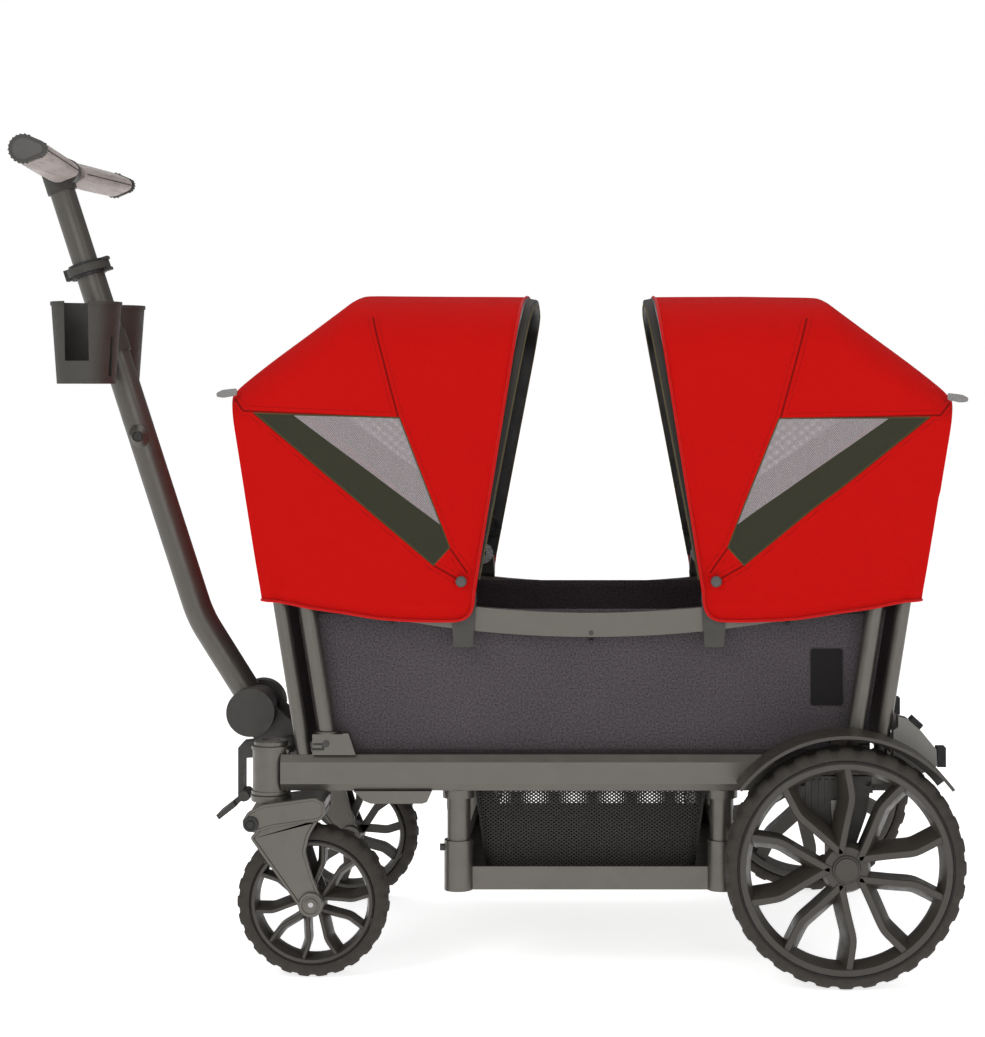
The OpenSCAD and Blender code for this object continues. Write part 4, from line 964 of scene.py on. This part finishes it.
def make_casters():
    """Each caster: a collared stem with its crown arms, and a sprung leg of two bordered plates with a
    ringed bolt."""
    for name, s in (("left", -1), ("right", 1)):
        at = np.array([CASTER_X, s * CASTER_Y, 0.0])
        crown, leg = Shape(), Shape()
        crown.loft(turned_up([(24.4, 216.8), (25, 217.6), (25, 224), (24.2, 225)], at[:2]))
        crown.loft(turned_up([(21, 286.6), (21, 291), (19.6, 292.4), (12, 292.6), (11, 291.4),
            (0.5, 291.4)], at[:2]))
        leg_shape, arm = fillet(np.array(LEG_OUTLINE), 4, 4), fillet(np.array(CROWN_OUTLINE), 3, 4)
        for c in (-1, 1):
            leg.loft(raised_plate(leg_shape, c * 26, c * 31.5) + at, 0)
            boss = [(15.5, c * 30), (15.5, c * 34), (14.4, c * 35), (11.4, c * 35), (10.8, c * 34),
                (8.4, c * 34), (8.0, c * 35.6), (3.6, c * 36), (3.2, c * 34.6), (0.4, c * 34.6)]
            leg.loft(revolve(boss, (54, 92), 40) + at, 0)
            crown.loft(raised_plate(arm, c * 32, c * 36.6, 3.0, 0.9) + at, 0)
            bolt = [(9.6, c * 35), (9.6, c * 38), (8.8, c * 38.8), (6.4, c * 38.8), (6.0, c * 37.6),
                (4.4, c * 37.6), (4.0, c * 39.4), (0.4, c * 39.6)]
            crown.loft(revolve(bolt, (-20, 193), 32) + at, 1)
        crown.loft(plate(fillet([[-14, 208], [71, 209], [71, 220], [60, 225], [-6, 217]], 3, 3), -32.5,
            32.5) + at, 0)
        crown.loft(plate(fillet([[48, 200], [70, 200], [71, 209], [44, 209]], 3, 3), -24, 24) + at, 1)
        leg.loft(plate(fillet([[-14, 180], [-6, 166], [4, 166], [12, 184], [-8, 187]], 2, 3), -26.5,
            26.5) + at, 0)
        piece(f"caster_crown_piece_{name}", crown, f"caster_{name}", ["frame_coat", "black_plastic"],
            [f"caster_crown_{name}"], 34)
        piece(f"caster_leg_piece_{name}", leg, f"leg_{name}", ["frame_coat"],
            [f"caster_leg_{name}"], 34)


def make_frame_details():
    """Lips and weld beads at the head tubes, rings and slots at the post feet, rivets under the rails."""
    trim = Shape()
    for s in (-1, 1):
        at = (CASTER_X, s * CASTER_Y)
        for z in (226.5, 283.5):
            trim.loft(turned_up([(22.6, z), (24.2, z + 0.5), (24.2, z + 2.4), (22.6, z + 2.9)], at), 0)
        t = np.linspace(0, 1, 60)
        z = 281 - 52 * t
        bead = np.stack([-378 + 3 * np.sin(np.pi * t),
            s * (CASTER_Y + 20.5 * np.sin(np.pi * (0.18 + 0.64 * t))), z], 1)
        trim.loft(tube(bead, 2.8 + 0.5 * np.sin(t * 75), 10), 0)
        for x0, d in ((-324, 1), (330, -1)):
            oval = [(15.5, 0), (15.5, 2.2), (13.2, 3.4), (11.6, 3.4), (11.2, 0)]
            ring = turned_up([(r, 303 + h) for r, h in oval], (0, 0), 40) * [1, 0.9, 1]
            trim.loft(ring + [x0 - d * 4, s * 226, 0], 0, loop=True)
            slot = fillet([[x0 - d * 21, 286], [x0 - d * 21, 283], [x0 - d * 6, 283], [x0 - d * 6, 292],
                [x0 - d * 20, 292], [x0 - d * 20, 289.4], [x0 - d * 9, 289.4], [x0 - d * 9, 286]], 0.6, 2)
            trim.loft(plate(slot, s * 239, s * 240.5, 0.3), 1)
        for x in (-248, 3, 250):
            z = 423.5 + 1400 - math.sqrt(1400 ** 2 - (x - 3) ** 2) - 6
            trim.loft(revolve([(2.6, s * 215), (2.6, s * 219), (1.6, s * 220), (0.3, s * 220)], (x, z), 14),
                1)
    piece("frame_trim", trim, "chassis", ["frame_coat", "black_plastic"], (), 34)


def make_footwell_liner():
    """The knitted footwell: a tapering tub with rounded corners and a slightly hollow floor, hung from the
    deck."""
    corner = rounded_box(2, 2, 0.12, 8)
    levels = [(151, 196, 262), (150, 195.5, 250), (147, 194, 225), (143, 192, 195), (139, 190, 165),
        (135, 188, 135), (132, 186, 118), (128, 183, 111), (118, 174, 109.4), (90, 140, 109), (50, 80, 109),
        (4, 6, 109)]
    rings = np.array([np.stack([1.5 + corner[:, 0] * hx, corner[:, 1] * hy, np.full(len(corner), z)],
        1) for hx, hy, z in levels])
    n = len(corner)
    liner = Shape().add(rings, [grid_faces(len(levels), n, False, True)], closed=False)
    obj = piece("footwell_liner", liner, "chassis", ["footwell_knit"], ["footwell_mesh"], 50)
    thicken(obj, 0.001, 0.0)
    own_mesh(obj)


# ---------------------------------------------------------------- carried-over parts

CARRIED = {
    "frame_coat": ["frame_brackets", "side_bars", "head_tubes", "cross_tubes", "footwell_uprights",
        "wall_frame_left", "wall_frame_right", "end_frames", "footwell_tray"],
    "tube_coat": ["inner_tube"],
    "dark_plastic": ["canopy_clamps", "rear_housings", "frame_bolts", "handle_yoke", "handle_hub",
        "cup_bracket", "cup_holders", "clamp_lever", "release_pedal", "grip_fittings", "latch_front",
        "latch_rear"],
    "black_plastic": ["clamp_collar", "tube_button", "swivel_bushes", "rear_bushes"],
    "cast_metal": ["bumper_bracket", "brake_lever"],
    "steel": ["rear_axle", "handle_pin", "front_axle_left", "front_axle_right", "canopy_rib_front",
        "canopy_rib_rear", "grip_bar"],
    "rim_plastic": ["fenders"],
    "rubber": ["bumper_pads"],
    "deck_board": ["deck_panels"],
}


def finish_carried():
    """Gives each carried-over node its own finish in every material slot."""
    for finish, names in CARRIED.items():
        for name in names:
            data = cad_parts[name].data
            if not data.materials:
                data.materials.append(FINISHES[finish])
            for i in range(len(data.materials)):
                data.materials[i] = FINISHES[finish]


# ---------------------------------------------------------------- stage

def area_light(name, at, aim, size, power):
    """A soft rectangular light."""
    data = bpy.data.lights.new(name, "AREA")
    data.shape, data.size, data.size_y, data.energy = "RECTANGLE", size[0], size[1], power
    obj = bpy.data.objects.new(name, data)
    obj.location = at
    obj.rotation_euler = (Vector(aim) - Vector(at)).to_track_quat("-Z", "Y").to_euler()
    bpy.context.scene.collection.objects.link(obj)


def make_stage(light):
    """Pale floor, white surround, soft lights and the camera."""
    scene = bpy.context.scene
    scene.view_settings.view_transform = "Standard"
    n = 96
    a = np.linspace(0, 2 * np.pi, n, endpoint=False)
    rim = np.stack([40 * np.cos(a), 40 * np.sin(a), np.zeros(n)], 1)
    mesh = bpy.data.meshes.new("floor")
    mesh.from_pydata(rim.tolist(), [], [list(range(n))])
    f = Finish("floor_paper", specular=0.1)
    f.set(base_color=f.mix(f.noise(3, 3), (0.86, 0.86, 0.86, 1), (0.9, 0.9, 0.9, 1)), roughness=0.95)
    f.shader.inputs["Emission Color"].default_value = (1, 1, 1, 1)
    f.shader.inputs["Emission Strength"].default_value = light.floor_glow
    f.set(normal=f.bump(f.noise(200, 2), 0.0002, 0.1))
    mesh.materials.append(FINISHES["floor_paper"])
    floor = bpy.data.objects.new("floor", mesh)
    floor.location.z = -0.0032
    scene.collection.objects.link(floor)

    world = bpy.data.worlds.new("surround")
    world.use_nodes = True
    scene.world = world
    tree = world.node_tree
    sky = tree.nodes["Background"]
    coords = tree.nodes.new("ShaderNodeTexCoord")
    apart = tree.nodes.new("ShaderNodeSeparateXYZ")
    ramp = tree.nodes.new("ShaderNodeValToRGB")
    tree.links.new(coords.outputs["Generated"], apart.inputs[0])
    tree.links.new(apart.outputs["Z"], ramp.inputs[0])
    ramp.color_ramp.elements[0].position, ramp.color_ramp.elements[0].color = 0.0, (0.12, 0.12, 0.12, 1)
    ramp.color_ramp.elements[1].position, ramp.color_ramp.elements[1].color = 0.75, (0.42, 0.42, 0.42, 1)
    sky.inputs["Strength"].default_value = 1.0
    tree.links.new(ramp.outputs[0], sky.inputs["Color"])
    white = tree.nodes.new("ShaderNodeBackground")
    path = tree.nodes.new("ShaderNodeLightPath")
    both = tree.nodes.new("ShaderNodeMixShader")
    tree.links.new(path.outputs["Is Camera Ray"], both.inputs[0])
    tree.links.new(sky.outputs[0], both.inputs[1])
    tree.links.new(white.outputs[0], both.inputs[2])
    white.inputs["Color"].default_value = (1, 1, 1, 1)
    tree.links.new(both.outputs[0], tree.nodes["World Output"].inputs[0])

    area_light("key", (-2.2, -2.6, 2.8), (0, 0, 0.45), (1.6, 1.6), light.key_power)
    area_light("fill", (2.6, -2.4, 1.5), (0, 0, 0.4), (1.2, 2.0), light.key_power * 0.45)
    area_light("front", (0.2, -4.2, 1.5), (0.1, 0, 0.45), (2.6, 1.6), light.key_power * 0.8)
    area_light("top", (0.1, 0.3, 3.2), (0, 0, 0.4), (2.6, 2.0), light.key_power * 0.8)

    data = bpy.data.cameras.new("camera")
    data.lens, data.sensor_width, data.sensor_fit = CAMERA_LENS, 36.0, "AUTO"
    cam = bpy.data.objects.new("camera", data)
    cam.location = (TUB_X * MM + CAMERA_ASIDE, -CAMERA_BACK, CAMERA_UP)
    cam.rotation_euler = (math.radians(90), 0, 0)
    data.shift_x, data.shift_y = CAMERA_SHIFT
    data.clip_end = 100
    scene.collection.objects.link(cam)
    scene.camera = cam


# ---------------------------------------------------------------- add-on

class WagonLook(bpy.types.PropertyGroup):
    """Colours of the wagon."""
    frame_colour: bpy.props.FloatVectorProperty(name="Frame", description="Powder coat of the frame",
        subtype="COLOR", default=(0.118, 0.11, 0.097), min=0, max=1)
    canopy_colour: bpy.props.FloatVectorProperty(name="Canopy", description="Cloth of both canopies",
        subtype="COLOR", default=(0.5, 0.002, 0.001), min=0, max=1)


class WagonSizes(bpy.types.PropertyGroup):
    """Sizes that may be changed without touching the frame."""
    canopy_billow: bpy.props.FloatProperty(name="Canopy billow",
        description="How far the back of a canopy swells", default=0.005, min=0, max=0.01, unit="LENGTH")
    cloth_slack: bpy.props.FloatProperty(name="Cloth slack",
        description="How far the tub's sides swell between their fixings", default=1.0, min=0, max=2)
    rear_lugs: bpy.props.IntProperty(name="Rear lugs", description="Lugs round each rear tyre", default=32,
        min=12, max=60)
    front_lugs: bpy.props.IntProperty(name="Front lugs", description="Lugs round each front tyre",
        default=26, min=12, max=60)


class WagonLight(bpy.types.PropertyGroup):
    """Stage light."""
    key_power: bpy.props.FloatProperty(name="Key light", description="Power of the main light",
        default=38.0, min=0, unit="POWER")
    floor_glow: bpy.props.FloatProperty(name="Floor glow",
        description="Light that the floor adds of its own", default=0.74, min=0, max=2)


class WAGON_OT_stage(bpy.types.Operator):
    """Adds the floor, lights and camera"""
    bl_idname = "wagon.stage"
    bl_label = "Stage"

    def execute(self, context):
        make_stage(context.scene.wagon_light)
        return {"FINISHED"}


class WAGON_OT_finishes(bpy.types.Operator):
    """Makes all finishes and gives the carried-over parts theirs"""
    bl_idname = "wagon.finishes"
    bl_label = "Finishes"

    def execute(self, context):
        make_finishes(context.scene.wagon_look)
        finish_carried()
        return {"FINISHED"}


class WAGON_OT_canopies(bpy.types.Operator):
    """Lays both canopies over their bows"""
    bl_idname = "wagon.canopies"
    bl_label = "Canopies"

    def execute(self, context):
        make_canopies(context.scene.wagon_sizes)
        make_bows()
        return {"FINISHED"}


class WAGON_OT_tub_cloth(bpy.types.Operator):
    """Stretches the cloth on the tub's sides and ends"""
    bl_idname = "wagon.tub_cloth"
    bl_label = "Tub Cloth"

    def execute(self, context):
        make_side_cloth(context.scene.wagon_sizes)
        make_end_cloth()
        return {"FINISHED"}


class WAGON_OT_wheels(bpy.types.Operator):
    """Builds the four wheels"""
    bl_idname = "wagon.wheels"
    bl_label = "Wheels"

    def execute(self, context):
        make_wheels(context.scene.wagon_sizes)
        return {"FINISHED"}


class WAGON_OT_handle(bpy.types.Operator):
    """Builds the pull handle"""
    bl_idname = "wagon.handle"
    bl_label = "Handle"

    def execute(self, context):
        make_handle_tube()
        make_grip()
        return {"FINISHED"}


class WAGON_OT_casters(bpy.types.Operator):
    """Builds the swivel casters"""
    bl_idname = "wagon.casters"
    bl_label = "Casters"

    def execute(self, context):
        make_casters()
        return {"FINISHED"}


class WAGON_OT_frame_details(bpy.types.Operator):
    """Adds the frame's small parts and the footwell liner"""
    bl_idname = "wagon.frame_details"
    bl_label = "Frame Details"

    def execute(self, context):
        make_frame_details()
        make_footwell_liner()
        return {"FINISHED"}


STEPS = (WAGON_OT_stage, WAGON_OT_finishes, WAGON_OT_canopies, WAGON_OT_tub_cloth, WAGON_OT_wheels,
    WAGON_OT_casters, WAGON_OT_frame_details, WAGON_OT_handle)


class WAGON_PT_build(bpy.types.Panel):
    """Lists the wagon's pieces in the sidebar"""
    bl_idname = "WAGON_PT_build"
    bl_label = "Kids Pull Wagon"
    bl_space_type = "VIEW_3D"
    bl_region_type = "UI"
    bl_category = "Wagon"

    def draw(self, context):
        for group in (context.scene.wagon_look, context.scene.wagon_sizes, context.scene.wagon_light):
            for name in group.__annotations__:
                self.layout.prop(group, name)
        for step in STEPS:
            self.layout.operator(step.bl_idname)


CLASSES = (WagonLook, WagonSizes, WagonLight) + STEPS + (WAGON_PT_build,)


def register():
    """Adds the classes and their settings."""
    for c in CLASSES:
        bpy.utils.register_class(c)
    bpy.types.Scene.wagon_look = bpy.props.PointerProperty(type=WagonLook)
    bpy.types.Scene.wagon_sizes = bpy.props.PointerProperty(type=WagonSizes)
    bpy.types.Scene.wagon_light = bpy.props.PointerProperty(type=WagonLight)


def unregister():
    """Takes them away again."""
    del bpy.types.Scene.wagon_look, bpy.types.Scene.wagon_sizes, bpy.types.Scene.wagon_light
    for c in reversed(CLASSES):
        bpy.utils.unregister_class(c)


def main():
    """Builds the whole wagon in order."""
    register()
    bpy.ops.wagon.stage()
    bpy.ops.wagon.finishes()
    bpy.ops.wagon.canopies()
    bpy.ops.wagon.tub_cloth()
    bpy.ops.wagon.wheels()
    bpy.ops.wagon.casters()
    bpy.ops.wagon.frame_details()
    bpy.ops.wagon.handle()
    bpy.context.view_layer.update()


if __name__ == "__main__":
    main()
